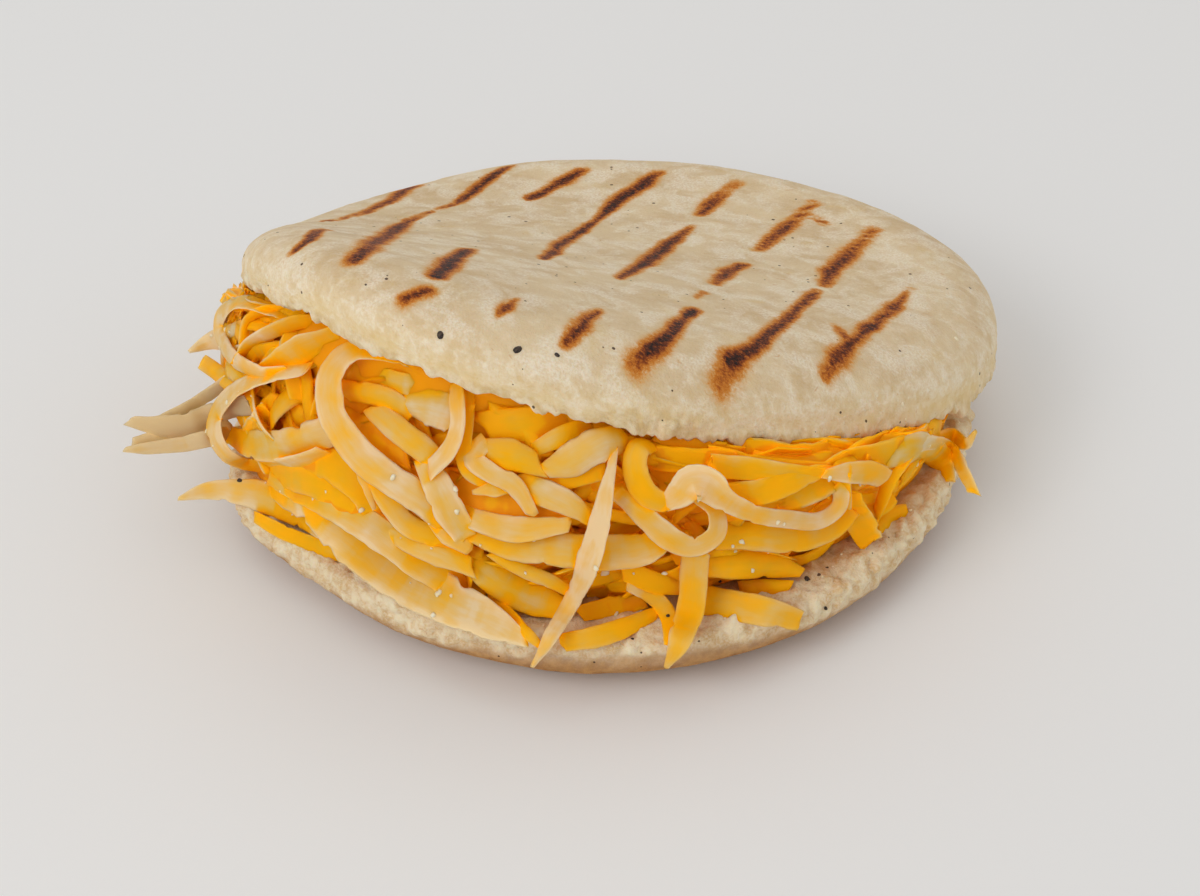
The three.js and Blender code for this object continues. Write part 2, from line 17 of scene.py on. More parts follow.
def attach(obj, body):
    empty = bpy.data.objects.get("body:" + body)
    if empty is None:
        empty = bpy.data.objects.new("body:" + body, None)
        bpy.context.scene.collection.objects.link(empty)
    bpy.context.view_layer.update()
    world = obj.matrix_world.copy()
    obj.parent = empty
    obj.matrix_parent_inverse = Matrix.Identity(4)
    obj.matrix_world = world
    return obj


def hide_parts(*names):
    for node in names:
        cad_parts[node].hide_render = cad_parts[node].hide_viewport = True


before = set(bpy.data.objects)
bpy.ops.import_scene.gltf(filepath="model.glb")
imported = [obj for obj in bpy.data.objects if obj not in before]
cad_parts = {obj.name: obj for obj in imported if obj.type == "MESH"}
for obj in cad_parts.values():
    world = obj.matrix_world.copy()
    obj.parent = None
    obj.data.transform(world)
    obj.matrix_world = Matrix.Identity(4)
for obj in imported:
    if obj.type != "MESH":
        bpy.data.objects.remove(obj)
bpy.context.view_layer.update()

MM = 0.001

# The cake, as it was before it was opened.
RADIUS = 55
THICKNESS = 21.5
CUT_HEIGHT = 10.5
FOOT_INSET, FOOT_RISE = 13, 6.5
SHOULDER_INSET, SHOULDER_DROP = 11, 7
LIP_ROUND = 0.6
BASE_LIP_ROUND = 2
BASE_LOBES = [(2.0, 2, 63), (0.55, 3, 60)]
BULGE_SIZE, BULGE_AT, BULGE_SPREAD = 3.4, -156, 13
LID_LOBES = [(2.35, 2, 29), (2.2, 3, 10)]
LID_SHRINK = 1

# How the upper half is lifted from its hinge line across the back.
HINGE_Y = 41.85
HINGE_SOFTNESS = 2
FIRST_SLOPE = 4.2  # degrees, like the next
MORE_SLOPE = 20.8
SLOPE_LENGTH = 110.7
LEFT_LIFT = 0.58
LID_SINK = 0.4
BEND_STEP = 0.5
BEND_REACH = 120

# The uncut wall round the back, in degrees and millimetres.
WALL_FROM, WALL_TO = -4, 156
WALL_RECESS, WALL_BULGE = 0.9, 1.15
WALL_DEPTH = 7
WALL_OVERLAP = 1.2
WALL_END, WALL_END_THIN = 9, 0.6  # over so many degrees its ends lose this share of their depth
WALL_COLUMNS, WALL_ROWS = 220, 7
MOUTH_OPENS, MOUTH_CLOSES = 0.35, 0.75  # cosines of the angle from the wall's middle
SEAM_REACH, SEAM_CLEAR, SEAM_ROUNDS = 2.2, 4, 70  # the softened seam, clear of the wall's ends

# The cheese heap's face, and the point that its shreds are laid out from.
FACE_CENTRE = np.array([-3, 0, 22])
FACE_SIZE = np.array([54, 51, 40])
SHRED_THICKNESS = 1.5
LAYOUT_RISE = 39
LAYOUT_REACH = 480
LAYOUT_AIM = np.array([-1.8, 0, -1])
REACH_NEAR, REACH_FAR = 90, 60
SIGHT_STEP = 0.25

SENSOR_WIDTH = 36
LENS = 95.06


def smooth(low, high, value):
    """0 below low and 1 above high, with a soft slope between."""
    share = np.clip((value - low) / (high - low), 0, 1)
    return share * share * (3 - 2 * share)


def polar(points):
    """How far points lie from the cake's axis, and their angles round it."""
    return np.hypot(points[:, 0], points[:, 1]), np.arctan2(points[:, 1], points[:, 0])


def lattice(corners, seed):
    """A repeatable number from 0 to 1 at each whole-number corner."""
    x, y, z = (corners[:, axis].astype(np.uint64) for axis in range(3))
    mixed = x * np.uint64(73856093) ^ y * np.uint64(19349663) ^ z * np.uint64(83492791)
    mixed ^= np.uint64(7919 * seed + 17)
    mixed ^= mixed >> np.uint64(13)
    mixed *= np.uint64(0x9E3779B97F4A7C15)
    mixed ^= mixed >> np.uint64(29)
    mixed *= np.uint64(0xBF58476D1CE4E5B9)
    return (mixed >> np.uint64(40)).astype(float) / 2**24


def grain(points, size, seed=0, octaves=1):
    """Smooth noise from -1 to 1 whose lumps are about one size across."""
    points = np.atleast_2d(points)
    total, weight, reach = np.zeros(len(points)), 1.0, 0.0
    for octave in range(octaves):
        cells = points / size * 2**octave + 31.7 * octave
        low = np.floor(cells)
        share = cells - low
        share = share * share * (3 - 2 * share)
        low = low.astype(np.int64)
        for corner in itertools.product((0, 1), repeat=3):
            part = np.prod(np.where(corner, share, 1 - share), axis=1)
            total += weight * part * (2 * lattice(low + corner, seed + octave) - 1)
        reach += weight
        weight *= 0.55
    return total / reach


def layered(points, layers, seed=0, shape=np.asarray):
    """Layers of noise over each other; a layer is its strength, size, seed and perhaps octaves."""
    total = 0
    for strength, size, more, *octaves in layers:
        total = total + strength * shape(grain(points, size, seed + more, *octaves))
    return total


def line_grain(distance, size, seed):
    """The same noise along a line."""
    return grain(np.column_stack([distance, distance * 0 + 0.5, distance * 0 + 0.5]), size, seed)


# The shape of the opened cake

def lobed(radius, lobes, angle):
    return radius + sum(size * np.cos(count * (angle - math.radians(at))) for size, count, at in lobes)


def base_rim(angle):
    apart = angle - math.radians(BULGE_AT)
    away = np.arctan2(np.sin(apart), np.cos(apart)) / math.radians(BULGE_SPREAD)
    return lobed(RADIUS, BASE_LOBES, angle) + BULGE_SIZE * np.exp(-away * away)


def lid_rim(angle):
    return lobed(RADIUS - LID_SHRINK, LID_LOBES, angle)


def slope_at(distance):
    begun = 1 / (1 + np.exp(-np.clip(distance, -60, 60) / HINGE_SOFTNESS))
    along = np.clip(distance, 0, SLOPE_LENGTH) / SLOPE_LENGTH
    return math.radians(FIRST_SLOPE) * begun + math.radians(MORE_SLOPE) * np.sin(math.pi * along)


bend_distance = np.arange(0, BEND_REACH + BEND_STEP, BEND_STEP)
bend_slope = slope_at(bend_distance[:-1] + BEND_STEP / 2)
bend_run = np.append(0, np.cumsum(np.cos(bend_slope) * BEND_STEP))
bend_rise = np.append(0, np.cumsum(np.sin(bend_slope) * BEND_STEP))


def lift_share(x):
    return 1 - LEFT_LIFT * x / RADIUS


def open_lid(points):
    """Moves points of the shut cake's upper half to where the opened lid holds them."""
    x, y, z = points.T
    distance = HINGE_Y - y
    run = np.where(distance > 0, np.interp(distance, bend_distance, bend_run), distance)
    rise = np.interp(distance, bend_distance, bend_rise)
    slope = slope_at(distance) * lift_share(x)
    above = z - CUT_HEIGHT
    opened_y = HINGE_Y - run + above * np.sin(slope)
    opened_z = CUT_HEIGHT - LID_SINK + rise * lift_share(x) + above * np.cos(slope)
    return np.column_stack([x, opened_y, opened_z])


def ceiling(x, y):
    """Height of the lid's cut face over a point of the plan."""
    return CUT_HEIGHT - LID_SINK + np.interp(HINGE_Y - y, bend_run, bend_rise) * lift_share(x)


# Meshes

def sheet_faces(rows, columns, first=0):
    """Quads of a grid whose rows follow each other and whose columns run round."""
    row, column = np.meshgrid(np.arange(rows - 1), np.arange(columns), indexing="ij")
    low, after = row * columns, (column + 1) % columns
    quads = [low + column, low + after, low + columns + after, low + columns + column]
    return (first + np.stack(quads, axis=-1).reshape(-1, 4)).tolist()


def fan(tip, first, count, backward=False):
    """Triangles between a tip and a ring of points."""
    sides = [(first + i, first + (i + 1) % count) for i in range(count)]
    return [(tip, *(side[::-1] if backward else side)) for side in sides]


def closed_tube(rings):
    """Points and faces of a closed tube through rings of points, with a fan over each end."""
    count, around = rings.shape[:2]
    points = np.vstack([rings.reshape(-1, 3), rings[0].mean(axis=0), rings[-1].mean(axis=0)])
    faces = [face[::-1] for face in sheet_faces(count, around)]
    faces += fan(count * around, 0, around)
    faces += fan(count * around + 1, (count - 1) * around, around, backward=True)
    return points, faces


def in_scene(name, data, place=(0, 0, 0), aim=None):
    """A new object in the scene, which looks along aim if there is one."""
    obj = bpy.data.objects.new(name, data)
    obj.location = place
    if aim is not None:
        obj.rotation_mode = "QUATERNION"
        obj.rotation_quaternion = Vector(aim).to_track_quat("-Z", "Y")
    bpy.context.scene.collection.objects.link(obj)
    return obj


def new_object(name, points, faces, **values):
    """A smooth-shaded object from points in millimetres, with its point attributes."""
    mesh = bpy.data.meshes.new(name)
    mesh.from_pydata(np.asarray(points) * MM, [], faces)
    for key, value in values.items():
        put_value(mesh, key, value)
    mesh.shade_smooth()
    return in_scene(name, mesh)


def put_value(mesh, key, value):
    """Writes a point attribute: a number for each point, a vector for each, or one number for all."""
    value = np.asarray(value, dtype=np.float32)
    if value.ndim == 0:
        value = np.full(len(mesh.vertices), value)
    kind, field = ("FLOAT", "value") if value.ndim == 1 else ("FLOAT_VECTOR", "vector")
    mesh.attributes.new(key, kind, "POINT").data.foreach_set(field, value.ravel())


def take_value(mesh, key):
    layer = mesh.attributes[key]
    wide = layer.data_type == "FLOAT_VECTOR"
    value = np.zeros((len(layer.data), 3) if wide else len(layer.data), np.float32)
    layer.data.foreach_get("vector" if wide else "value", value.ravel())
    return value


def fill_in(mesh, keys):
    """Gives the vertices that a union made their values, which are all 0, from their neighbours."""
    ends = np.zeros(2 * len(mesh.edges), np.int32)
    mesh.edges.foreach_get("vertices", ends)
    pairs = np.vstack([ends.reshape(-1, 2), ends.reshape(-1, 2)[:, ::-1]])
    values = {key: take_value(mesh, key) for key in keys}
    known = np.linalg.norm(values["plan"], axis=1) > 0
    while not known.all():
        target, source = pairs[known[pairs[:, 1]] & ~known[pairs[:, 0]]].T
        count = np.bincount(target, minlength=len(known))
        for value in values.values():
            for column in value.reshape(len(known), -1).T:
                total = np.bincount(target, column[source], minlength=len(known))
                column[count > 0] = (total / np.maximum(count, 1))[count > 0]
        known |= count > 0
    for key, value in values.items():
        mesh.attributes.remove(mesh.attributes[key])
        put_value(mesh, key, value)


def as_piece(obj, slot, material, *nodes):
    """Gives a finished object its material and its place in the frame."""
    obj.data.materials.clear()
    obj.data.materials.append(material)
    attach(obj, "root")
    if nodes:
        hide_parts(*nodes)
    return obj


# Node materials

def linear(red, green, blue):
    """A screen colour, 0 to 255, as the linear colour that a shader takes."""
    shares = (part / 255 for part in (red, green, blue))
    return (*(share / 12.92 if share < 0.0404 else ((share + 0.055) / 1.055) ** 2.4 for share in shares), 1)


class Recipe:
    """Builds one material's nodes; each method returns the socket that its result comes out of.

    Colours are screen colours, 0 to 255, and sizes are in the units of the position that they measure.
    """

    def __init__(self, name):
        self.material = bpy.data.materials.new(name)
        self.material.use_nodes = True
        self.tree = self.material.node_tree
        self.shader = self.tree.nodes["Principled BSDF"]

    def node(self, kind, inputs, out=0, **settings):
        node = self.tree.nodes.new(kind)
        for key, value in settings.items():
            setattr(node, key, value)
        for key, value in inputs.items():
            self.put(node.inputs[key], value)
        return node.outputs[out]

    def put(self, socket, value):
        if isinstance(value, bpy.types.NodeSocket):
            self.tree.links.new(value, socket)
        else:
            socket.default_value = value

    def attribute(self, key, out="Fac"):
        return self.node("ShaderNodeAttribute", {}, out, attribute_name=key)

    def stretched(self, where, *shares):
        return self.node("ShaderNodeVectorMath", {0: where, 1: shares}, 0, operation="MULTIPLY")

    def in_millimetres(self):
        return self.stretched(self.node("ShaderNodeTexCoord", {}, "Object"), 1 / MM, 1 / MM, 1 / MM)

    def noise(self, where, size, detail=3, rough=0.55, warp=0):
        inputs = {"Vector": where, "Scale": 1 / size, "Detail": detail, "Roughness": rough}
        return self.node("ShaderNodeTexNoise", {**inputs, "Distortion": warp}, "Fac")

    def cells(self, where, size, out):
        return self.node("ShaderNodeTexVoronoi", {"Vector": where, "Scale": 1 / size}, out)

    def maths(self, operation, *values):
        return self.node("ShaderNodeMath", dict(enumerate(values)), 0, operation=operation)

    def times(self, *factors):
        return functools.reduce(functools.partial(self.maths, "MULTIPLY"), factors)

    def plus(self, *terms):
        return functools.reduce(functools.partial(self.maths, "ADD"), terms)

    def step(self, value, low, high, start=0.0, end=1.0):
        """From start to end while the value goes from low to high, with a soft slope between."""
        inputs = {"Value": value, "From Min": low, "From Max": high, "To Min": start, "To Max": end}
        return self.node("ShaderNodeMapRange", inputs, 0, interpolation_type="SMOOTHSTEP")

    def mix(self, share, *colours):
        first, second = (linear(*colour) if isinstance(colour, tuple) else colour for colour in colours)
        return self.node("ShaderNodeMix", {0: share, 6: first, 7: second}, 2, data_type="RGBA")

    def ramp(self, share, stops):
        node = self.tree.nodes.new("ShaderNodeValToRGB")
        self.put(node.inputs[0], share)
        elements = node.color_ramp.elements
        while len(elements) < len(stops):
            elements.new(0.5)
        for element, (position, colour) in zip(elements, stops):
            element.position = position
            element.color = linear(*colour)
        return node.outputs[0]

    def finish(self, relief=None, bump=(), **inputs):
        """Fills in the shader. A bump is its strength and its depth in millimetres."""
        if relief is not None:
            strength, depth = bump
            heights = {"Height": relief, "Strength": strength, "Distance": depth * MM}
            inputs["Normal"] = self.node("ShaderNodeBump", heights)
        for key, value in inputs.items():
            self.put(self.shader.inputs[key.replace("_", " ")], value)
        return self.material


# The bread

FRONT_FROM, FRONT_TO = -195, 15  # the mouth's lips, with a little to spare, get the close columns
FRONT_COLUMNS, BACK_COLUMNS = 492, 84
CUT_ROWS_CHANGE = (36, 44)  # outside these radii the lower cut face gets closer rows
LID_CUT_ROWS_CHANGE = 45

# Spacing of the profiles' rows in millimetres, and steps in their rounded corners
UNDERSIDE_ROWS, SIDE_ROWS, TOP_ROWS = 3.5, 0.4, 1.05
CUT_OUTER_ROWS, CUT_MIDDLE_ROWS, CUT_INNER_ROWS, LID_CUT_ROWS = 0.5, 1.6, 9, 0.6
FOOT_STEPS, BASE_LIP_STEPS, LID_LIP_STEPS, SHOULDER_STEPS = 24, 8, 3, 26

MISS_STEP = 0.4

CLUMPS_AT, CLUMPS_SPREAD = -84, 8  # degrees round the lid's lip where the crumb stands out in lumps
LIP_RISE_AT = [-200, -186, -170, -154, -140, -113, -88, -75, -50]
LIP_RISE = [0, 1.2, 2.0, 1.8, 1.1, 0.6, 0.5, 0.5, 0]  # the lid's lip is thinner on the left
CRUMB_DEPTH_AT, BASE_CRUMB_DEPTH = [-160, -118, -100, -78, -60, -20], [5, 5.2, 2.4, 2.4, 4.6, 5.4]
LID_CRUMB_DEPTH = [1.3] * 6
LID_LUMPS, BASE_LUMPS = 0.0, 1.1
LID_SEED, BASE_SEED, TEETH_SEED = 5, 25, 60
TEETH_SIZE = 1.05
MARK_DEPTH = 0.16

# Layers of roughness: strength and size in millimetres, a seed, and octaves where there is more than one.
CRUST_WAVES = [(0.26, 17, 0), (0.16, 5.5, 3, 2), (0.05, 1.0, 5)]
CRUMB_COARSE = [(0.42, 3.4, 7), (0.34, 1.7, 8, 2)]
CRUMB_FINE = [(0.22, 0.85, 9)]
CRUMB_CLODS = [(1, 2.3, 15), (0.5, 1.2, 16)]
CRUMB_EDGE = [(0.28, 4.5, 12, 2)]
LIP_CRUMBS = [(1.5, 2.6, 1), (0.9, 1.3, 3)]
LIP_CLUMPS = [(0.9, 1.9, 90), (0.5, 1.0, 91)]
LIP_WAVE = [(0.5, 4.6, 0)]
WALL_TEARS = [(0.45, 2.8, 81, 2), (0.25, 1.2, 83)]
MARK_WAVE = [(0.5, 2.6, 40, 2)]

# Where the roughness lies, in millimetres
LIP_BAND = (0.5, 3.4)  # from the mouth's edge
FACE_BAND, FACE_ROUGH = (32, 40), 0.9  # radii on the cut face, and its roughness as a share of the lip's
CLOD_LEVEL, TOOTH_LEVEL = 0.4, 0.5  # taken off the noise, so that some crumbs stand out and others sink in
TEETH_INWARDS, WAVE_HEIGHT, TEETH_HEIGHT = (9, 3), 4, 2.2
RAGGED_LEAST, RAGGED_MORE, RAGGED_GROWS = 0.55, 0.65, (-109, -46)  # degrees, left to right round the lip

MARK_CORE_HEAT, MARK_HALO_HEAT, MARK_HALO_FADE = 0.46, 0.54, 1.7
MARK_CORE, MARK_HALO = 0.7, 1.8  # a grill mark's black core and its brown halo, as shares of its half width


def rim_angles():
    front = np.linspace(FRONT_FROM, FRONT_TO, FRONT_COLUMNS, endpoint=False)
    back = np.linspace(FRONT_TO, FRONT_FROM + 360, BACK_COLUMNS, endpoint=False)
    return np.radians(np.append(front, back))


def stretch_of(start, end, spacing):
    """Points of a straight stretch of profile, from start up to just before end."""
    start, end = np.array(start, float), np.array(end, float)
    steps = max(1, round(float(np.linalg.norm(end - start)) / spacing))
    return start + (end - start) * (np.arange(steps) / steps)[:, None]


def quarter(centre, across, up, first, last, steps):
    """Points of a quarter ellipse between two turns in degrees, without the last."""
    turn = np.radians(np.linspace(first, last, steps, endpoint=False))
    return np.column_stack([centre[0] + across * np.cos(turn), centre[1] + up * np.sin(turn)])


def lower_profile():
    foot = (RADIUS - FOOT_INSET, FOOT_RISE)
    lip = (RADIUS - BASE_LIP_ROUND, CUT_HEIGHT - BASE_LIP_ROUND)
    inner, middle = ((radius, CUT_HEIGHT) for radius in CUT_ROWS_CHANGE)
    return np.vstack([
        stretch_of((0, 0), (foot[0], 0), UNDERSIDE_ROWS),
        quarter(foot, FOOT_INSET, -FOOT_RISE, 90, 0, FOOT_STEPS),
        stretch_of((RADIUS, FOOT_RISE), (RADIUS, lip[1]), SIDE_ROWS),
        quarter(lip, BASE_LIP_ROUND, BASE_LIP_ROUND, 0, 90, BASE_LIP_STEPS),
        stretch_of((lip[0], CUT_HEIGHT), middle, CUT_OUTER_ROWS),
        stretch_of(middle, inner, CUT_MIDDLE_ROWS),
        stretch_of(inner, (0, CUT_HEIGHT), CUT_INNER_ROWS),
        [(0, CUT_HEIGHT)],
    ])


def upper_profile():
    shoulder = (RADIUS - SHOULDER_INSET, THICKNESS - SHOULDER_DROP)
    lip = (RADIUS - LIP_ROUND, CUT_HEIGHT + LIP_ROUND)
    middle = (LID_CUT_ROWS_CHANGE, CUT_HEIGHT)
    return np.vstack([
        stretch_of((0, CUT_HEIGHT), middle, CUT_INNER_ROWS),
        stretch_of(middle, (lip[0], CUT_HEIGHT), LID_CUT_ROWS),
        quarter(lip, LIP_ROUND, LIP_ROUND, -90, 0, LID_LIP_STEPS),
        stretch_of((RADIUS, lip[1]), (RADIUS, shoulder[1]), SIDE_ROWS),
        quarter(shoulder, SHOULDER_INSET, SHOULDER_DROP, 0, 90, SHOULDER_STEPS),
        stretch_of((shoulder[0], THICKNESS), (0, THICKNESS), TOP_ROWS),
        [(0, THICKNESS)],
    ])


def outward(profile):
    """The profile's normals, which point out of the bread."""
    along = np.gradient(profile, axis=0)
    along[0] = along[-1] = (0, 1)
    normal = np.column_stack([along[:, 1], -along[:, 0]])
    normal[0], normal[-1] = (0, -1), (0, 1)
    return normal / np.linalg.norm(normal, axis=1)[:, None]


def turned(profile, rim):
    """A profile turned round the axis, out to the rim: points, normals and faces of a closed disc."""
    angles = rim_angles()
    columns = len(angles)
    ring = np.column_stack([np.cos(angles), np.sin(angles)])

    def swept(rows, around):
        flat = rows[:, 0, None, None] * around[None]
        height = np.broadcast_to(rows[:, 1, None, None], (*flat.shape[:2], 1))
        return np.concatenate([flat, height], axis=2).reshape(-1, 3)

    points = swept(profile[1:-1], (rim(angles) / RADIUS)[:, None] * ring)
    out = swept(outward(profile)[1:-1], ring)
    last = 1 + len(points)
    faces = sheet_faces(len(profile) - 2, columns, first=1)
    faces += fan(0, 1, columns, backward=True) + fan(last, last - columns, columns)
    points = np.vstack([[0, 0, profile[0, 1]], points, [0, 0, profile[-1, 1]]])
    return points, np.vstack([[0, 0, -1], out, [0, 0, 1]]), faces


def round_from_wall(angle):
    """Turns angles into degrees from -270 to 90, so that they jump behind the uncut wall only."""
    return np.mod(np.degrees(angle) + 270, 360) - 270


def at_mouth(angle):
    """1 round the open mouth and 0 where the halves are joined."""
    from_wall = np.cos(angle - math.radians((WALL_FROM + WALL_TO) / 2))
    return 1 - smooth(MOUTH_OPENS, MOUTH_CLOSES, from_wall)


def crumbly(points, out, rim, lip_round, crumb_depth, lumps, seed):
    """Roughness of a half's surface along its normals, with how much of it is bare crumb."""
    radius, angle = polar(points)
    inwards = rim(angle) - radius
    height = np.abs(points[:, 2] - CUT_HEIGHT)
    on_cut = (height < 0.05) & (inwards > lip_round * 0.7)
    lip = 1 - smooth(*LIP_BAND, np.where(on_cut, inwards, height))
    mouth = at_mouth(angle)
    crust = layered(points, CRUST_WAVES, seed)
    coarse, fine = (layered(points, layers, seed) for layers in (CRUMB_COARSE, CRUMB_FINE))
    clods = lumps * (layered(points, CRUMB_CLODS, seed, np.abs) - CLOD_LEVEL)
    ragged = (coarse + fine + clods) * mouth
    on_face = smooth(*FACE_BAND, radius) * ragged * FACE_ROUGH
    depth = 1.0 + (np.interp(round_from_wall(angle), CRUMB_DEPTH_AT, crumb_depth) - 1.0) * mouth
    edge = depth * (1 + layered(points, CRUMB_EDGE, seed))
    crumb = np.where(on_cut, 1.0, 1 - smooth(edge * 0.7, edge * 1.25 + 0.3, height))
    bare = crumb * mouth * (0.5 * coarse + fine + clods)
    shift = np.where(on_cut, on_face, (crust + bare) * (1 - lip)) + lip * ragged
    return points + out * shift[:, None], crumb * mouth


def bitten(points):
    """Moves the lid's lip up and down: crumbs hang from it, with notches between."""
    radius, angle = polar(points)
    around = np.column_stack([np.cos(angle), np.sin(angle), 0 * angle]) * RADIUS
    height = np.abs(points[:, 2] - CUT_HEIGHT)
    inner, outer = (RADIUS - inwards for inwards in TEETH_INWARDS)
    at_rim = smooth(inner, outer, radius) * at_mouth(angle)
    crumbs = layered(around, LIP_CRUMBS, TEETH_SEED, np.abs)
    at = round_from_wall(angle)
    ragged = RAGGED_LEAST + RAGGED_MORE * smooth(*RAGGED_GROWS, at)
    wave = layered(around, LIP_WAVE, TEETH_SEED) + np.interp(at, LIP_RISE_AT, LIP_RISE)
    wave *= 1 - smooth(0, WAVE_HEIGHT, height)
    teeth = ragged * (crumbs - TOOTH_LEVEL) * (1 - smooth(0, TEETH_HEIGHT, height))
    moved = points.copy()
    moved[:, 2] += at_rim * (wave - teeth) * TEETH_SIZE
    return moved


def heat_at(plan, strokes):
    """How charred each point of the plan is, from 0 to 1, by its distance from the strokes."""
    flat = np.column_stack([plan[:, 0], plan[:, 1], 0 * plan[:, 0]])
    wave = layered(flat, MARK_WAVE)
    heat = np.zeros(len(plan))
    for stops in strokes:
        for start, end in itertools.pairwise(np.array(stops)):
            run = end - start
            share = np.clip((plan - start[:2]) @ run[:2] / (run[:2] @ run[:2]), 0, 1)
            away = np.linalg.norm(plan - start[:2] - share[:, None] * run[:2], axis=1) + wave
            width, level = (start[part] + run[part] * share for part in (2, 3))
            away /= width
            core = 1 - smooth(0, MARK_CORE, away)
            halo = 1 - smooth(0.2, MARK_HALO, away)
            heat = np.maximum(heat, level * (MARK_CORE_HEAT * core + MARK_HALO_HEAT * halo**MARK_HALO_FADE))
    return heat


def lid_half():
    shut, out, faces = turned(upper_profile(), lid_rim)
    rough, crumb = crumbly(shut, out, lid_rim, LIP_ROUND, LID_CRUMB_DEPTH, LID_LUMPS, LID_SEED)
    rough = bitten(rough)
    angle, above = np.degrees(polar(shut)[1]), shut[:, 2] - CUT_HEIGHT
    clump = np.exp(-((angle - CLUMPS_AT) / CLUMPS_SPREAD) ** 2) * (1 - smooth(2, 6, above))
    clump *= smooth(0, 0.5, above)
    rough += out * (clump * layered(shut, LIP_CLUMPS, shape=np.abs))[:, None]
    crumb = np.maximum(crumb, clump * 0.9)
    marks = marks_on_lid(open_lid(rough), faces, shut)
    char = heat_at(shut[:, :2], marks) * smooth(CUT_HEIGHT + 3, CUT_HEIGHT + 7, shut[:, 2])
    rough -= out * (MARK_DEPTH * char)[:, None]
    rim_side = 1 - smooth(THICKNESS - SHOULDER_DROP - 2, THICKNESS - 1, shut[:, 2])
    opened = open_lid(rough)
    return new_object("lid_half", opened, faces, plan=shut, crumb=crumb, rim_side=rim_side, char=char, lid=1)


def marks_on_lid(points, faces, plan):
    """The grill marks, turned from the layout view into the lid's plan: each stop is [x, y, width, heat]."""
    tree = BVHTree.FromPolygons(points.tolist(), faces)

    def in_plan(across, up, width, level):
        face = None
        while face is None:  # a stop on the far edge may look just past it
            face = tree.ray_cast(Vector(EYE), Vector(sight(across, up)))[2]
            up -= MISS_STEP
        x, y = plan[list(faces[face])].mean(axis=0)[:2]
        return x, y, width, level

    return [[in_plan(*stop) for stop in stops] for stops in GRILL_MARKS]


def base_half():
    shut, out, faces = turned(lower_profile(), base_rim)
    rough, crumb = crumbly(shut, out, base_rim, BASE_LIP_ROUND, BASE_CRUMB_DEPTH, BASE_LUMPS, BASE_SEED)
    rough[shut[:, 2] < 0.01, 2] = 0
    rough[:, 2] = np.maximum(rough[:, 2], 0)
    char = heat_at(shut[:, :2], UNDER_MARKS) * (1 - smooth(0.2, 2.0, shut[:, 2]))
    return new_object("base_half", rough, faces, plan=shut, crumb=crumb, rim_side=1, char=char, lid=0)


def joined_wall():
    """The arc of uncut bread that joins the halves round the back."""
    angles = np.radians(np.linspace(WALL_FROM, WALL_TO, WALL_COLUMNS))
    inner, outer = RADIUS - WALL_DEPTH, RADIUS - WALL_RECESS
    middle = (inner + outer) / 2
    shares = np.linspace(0, 1, WALL_ROWS)
    section = [(outer + WALL_BULGE * math.sin(math.pi * share), share) for share in shares]
    section += [(middle, 1)] + [(inner, share) for share in shares[::-1]] + [(middle, 0)]
    rings, plan = [], []
    for angle in angles:
        ahead = np.array([math.cos(angle), math.sin(angle), 0])
        from_end = min(math.degrees(angle) - WALL_FROM, WALL_TO - math.degrees(angle))
        thinned = 1 - WALL_END_THIN * (1 - float(smooth(0, WALL_END, from_end)))
        for radius, share in section:
            radius = inner + (radius - inner) * thinned
            foot = ahead * (radius * base_rim(angle) / RADIUS) + [0, 0, CUT_HEIGHT - WALL_OVERLAP]
            head = ahead * (radius * lid_rim(angle) / RADIUS) + [0, 0, CUT_HEIGHT + WALL_OVERLAP]
            rings.append(foot + (open_lid(head[None])[0] - foot) * share)
            plan.append(foot + (head - foot) * share)
    flat = np.array(rings)
    out = np.column_stack([flat[:, 0], flat[:, 1], 0 * flat[:, 0]])
    out /= np.linalg.norm(out, axis=1)[:, None]
    skin = np.tile(np.arange(len(section)) < WALL_ROWS, len(angles))
    torn = layered(flat, WALL_TEARS)
    rough = flat + out * (skin * torn)[:, None]
    points, faces = closed_tube(rough.reshape(len(angles), len(section), 3))
    plan = np.vstack([plan, plan[0], plan[-1]])
    lid = np.append(np.tile([share for _, share in section], len(angles)), [0.5, 0.5])
    crumb = at_mouth(polar(plan)[1])
    return new_object("joined_wall", points, faces, plan=plan, crumb=crumb, rim_side=1, char=0, lid=lid)


def make_bread(material):
    """The two halves and their wall, joined into one closed body."""
    body, *others = base_half(), lid_half(), joined_wall()
    for other in others:
        union = body.modifiers.new("join", "BOOLEAN")
        union.operation = "UNION"
        union.solver = "MANIFOLD"
        union.object = other
    graph = bpy.context.evaluated_depsgraph_get()
    joined = bpy.data.meshes.new_from_object(body.evaluated_get(graph))
    for spent in (body, *others):
        bpy.data.objects.remove(spent)
    keep_largest_shell(joined)
    soften_seam(joined)
    fill_in(joined, ("plan", "crumb", "rim_side", "char", "lid"))
    joined.name = "bread_body"
    joined.shade_smooth()
    return as_piece(in_scene("bread_body", joined), "bread", material, "bread")


def soften_seam(mesh):
    """Rounds the creases where the wall meets the two halves."""
    work = bmesh.new()
    work.from_mesh(mesh)
    points = np.array([vert.co for vert in work.verts]) / MM
    radius, angle = polar(points)
    x, y, z = points.T
    angle = np.degrees(angle)
    near = (angle > WALL_FROM + SEAM_CLEAR) & (angle < WALL_TO - SEAM_CLEAR) & (radius > RADIUS - WALL_DEPTH)
    near &= (z > CUT_HEIGHT - SEAM_REACH) & (z < ceiling(x, y) + SEAM_REACH)
    verts = [vert for vert, wanted in zip(work.verts, near) if wanted]
    every_way = {f"use_axis_{axis}": True for axis in "xyz"}
    for _ in range(SEAM_ROUNDS):
        bmesh.ops.smooth_vert(work, verts=verts, factor=0.5, **every_way)
    work.to_mesh(mesh)
    work.free()


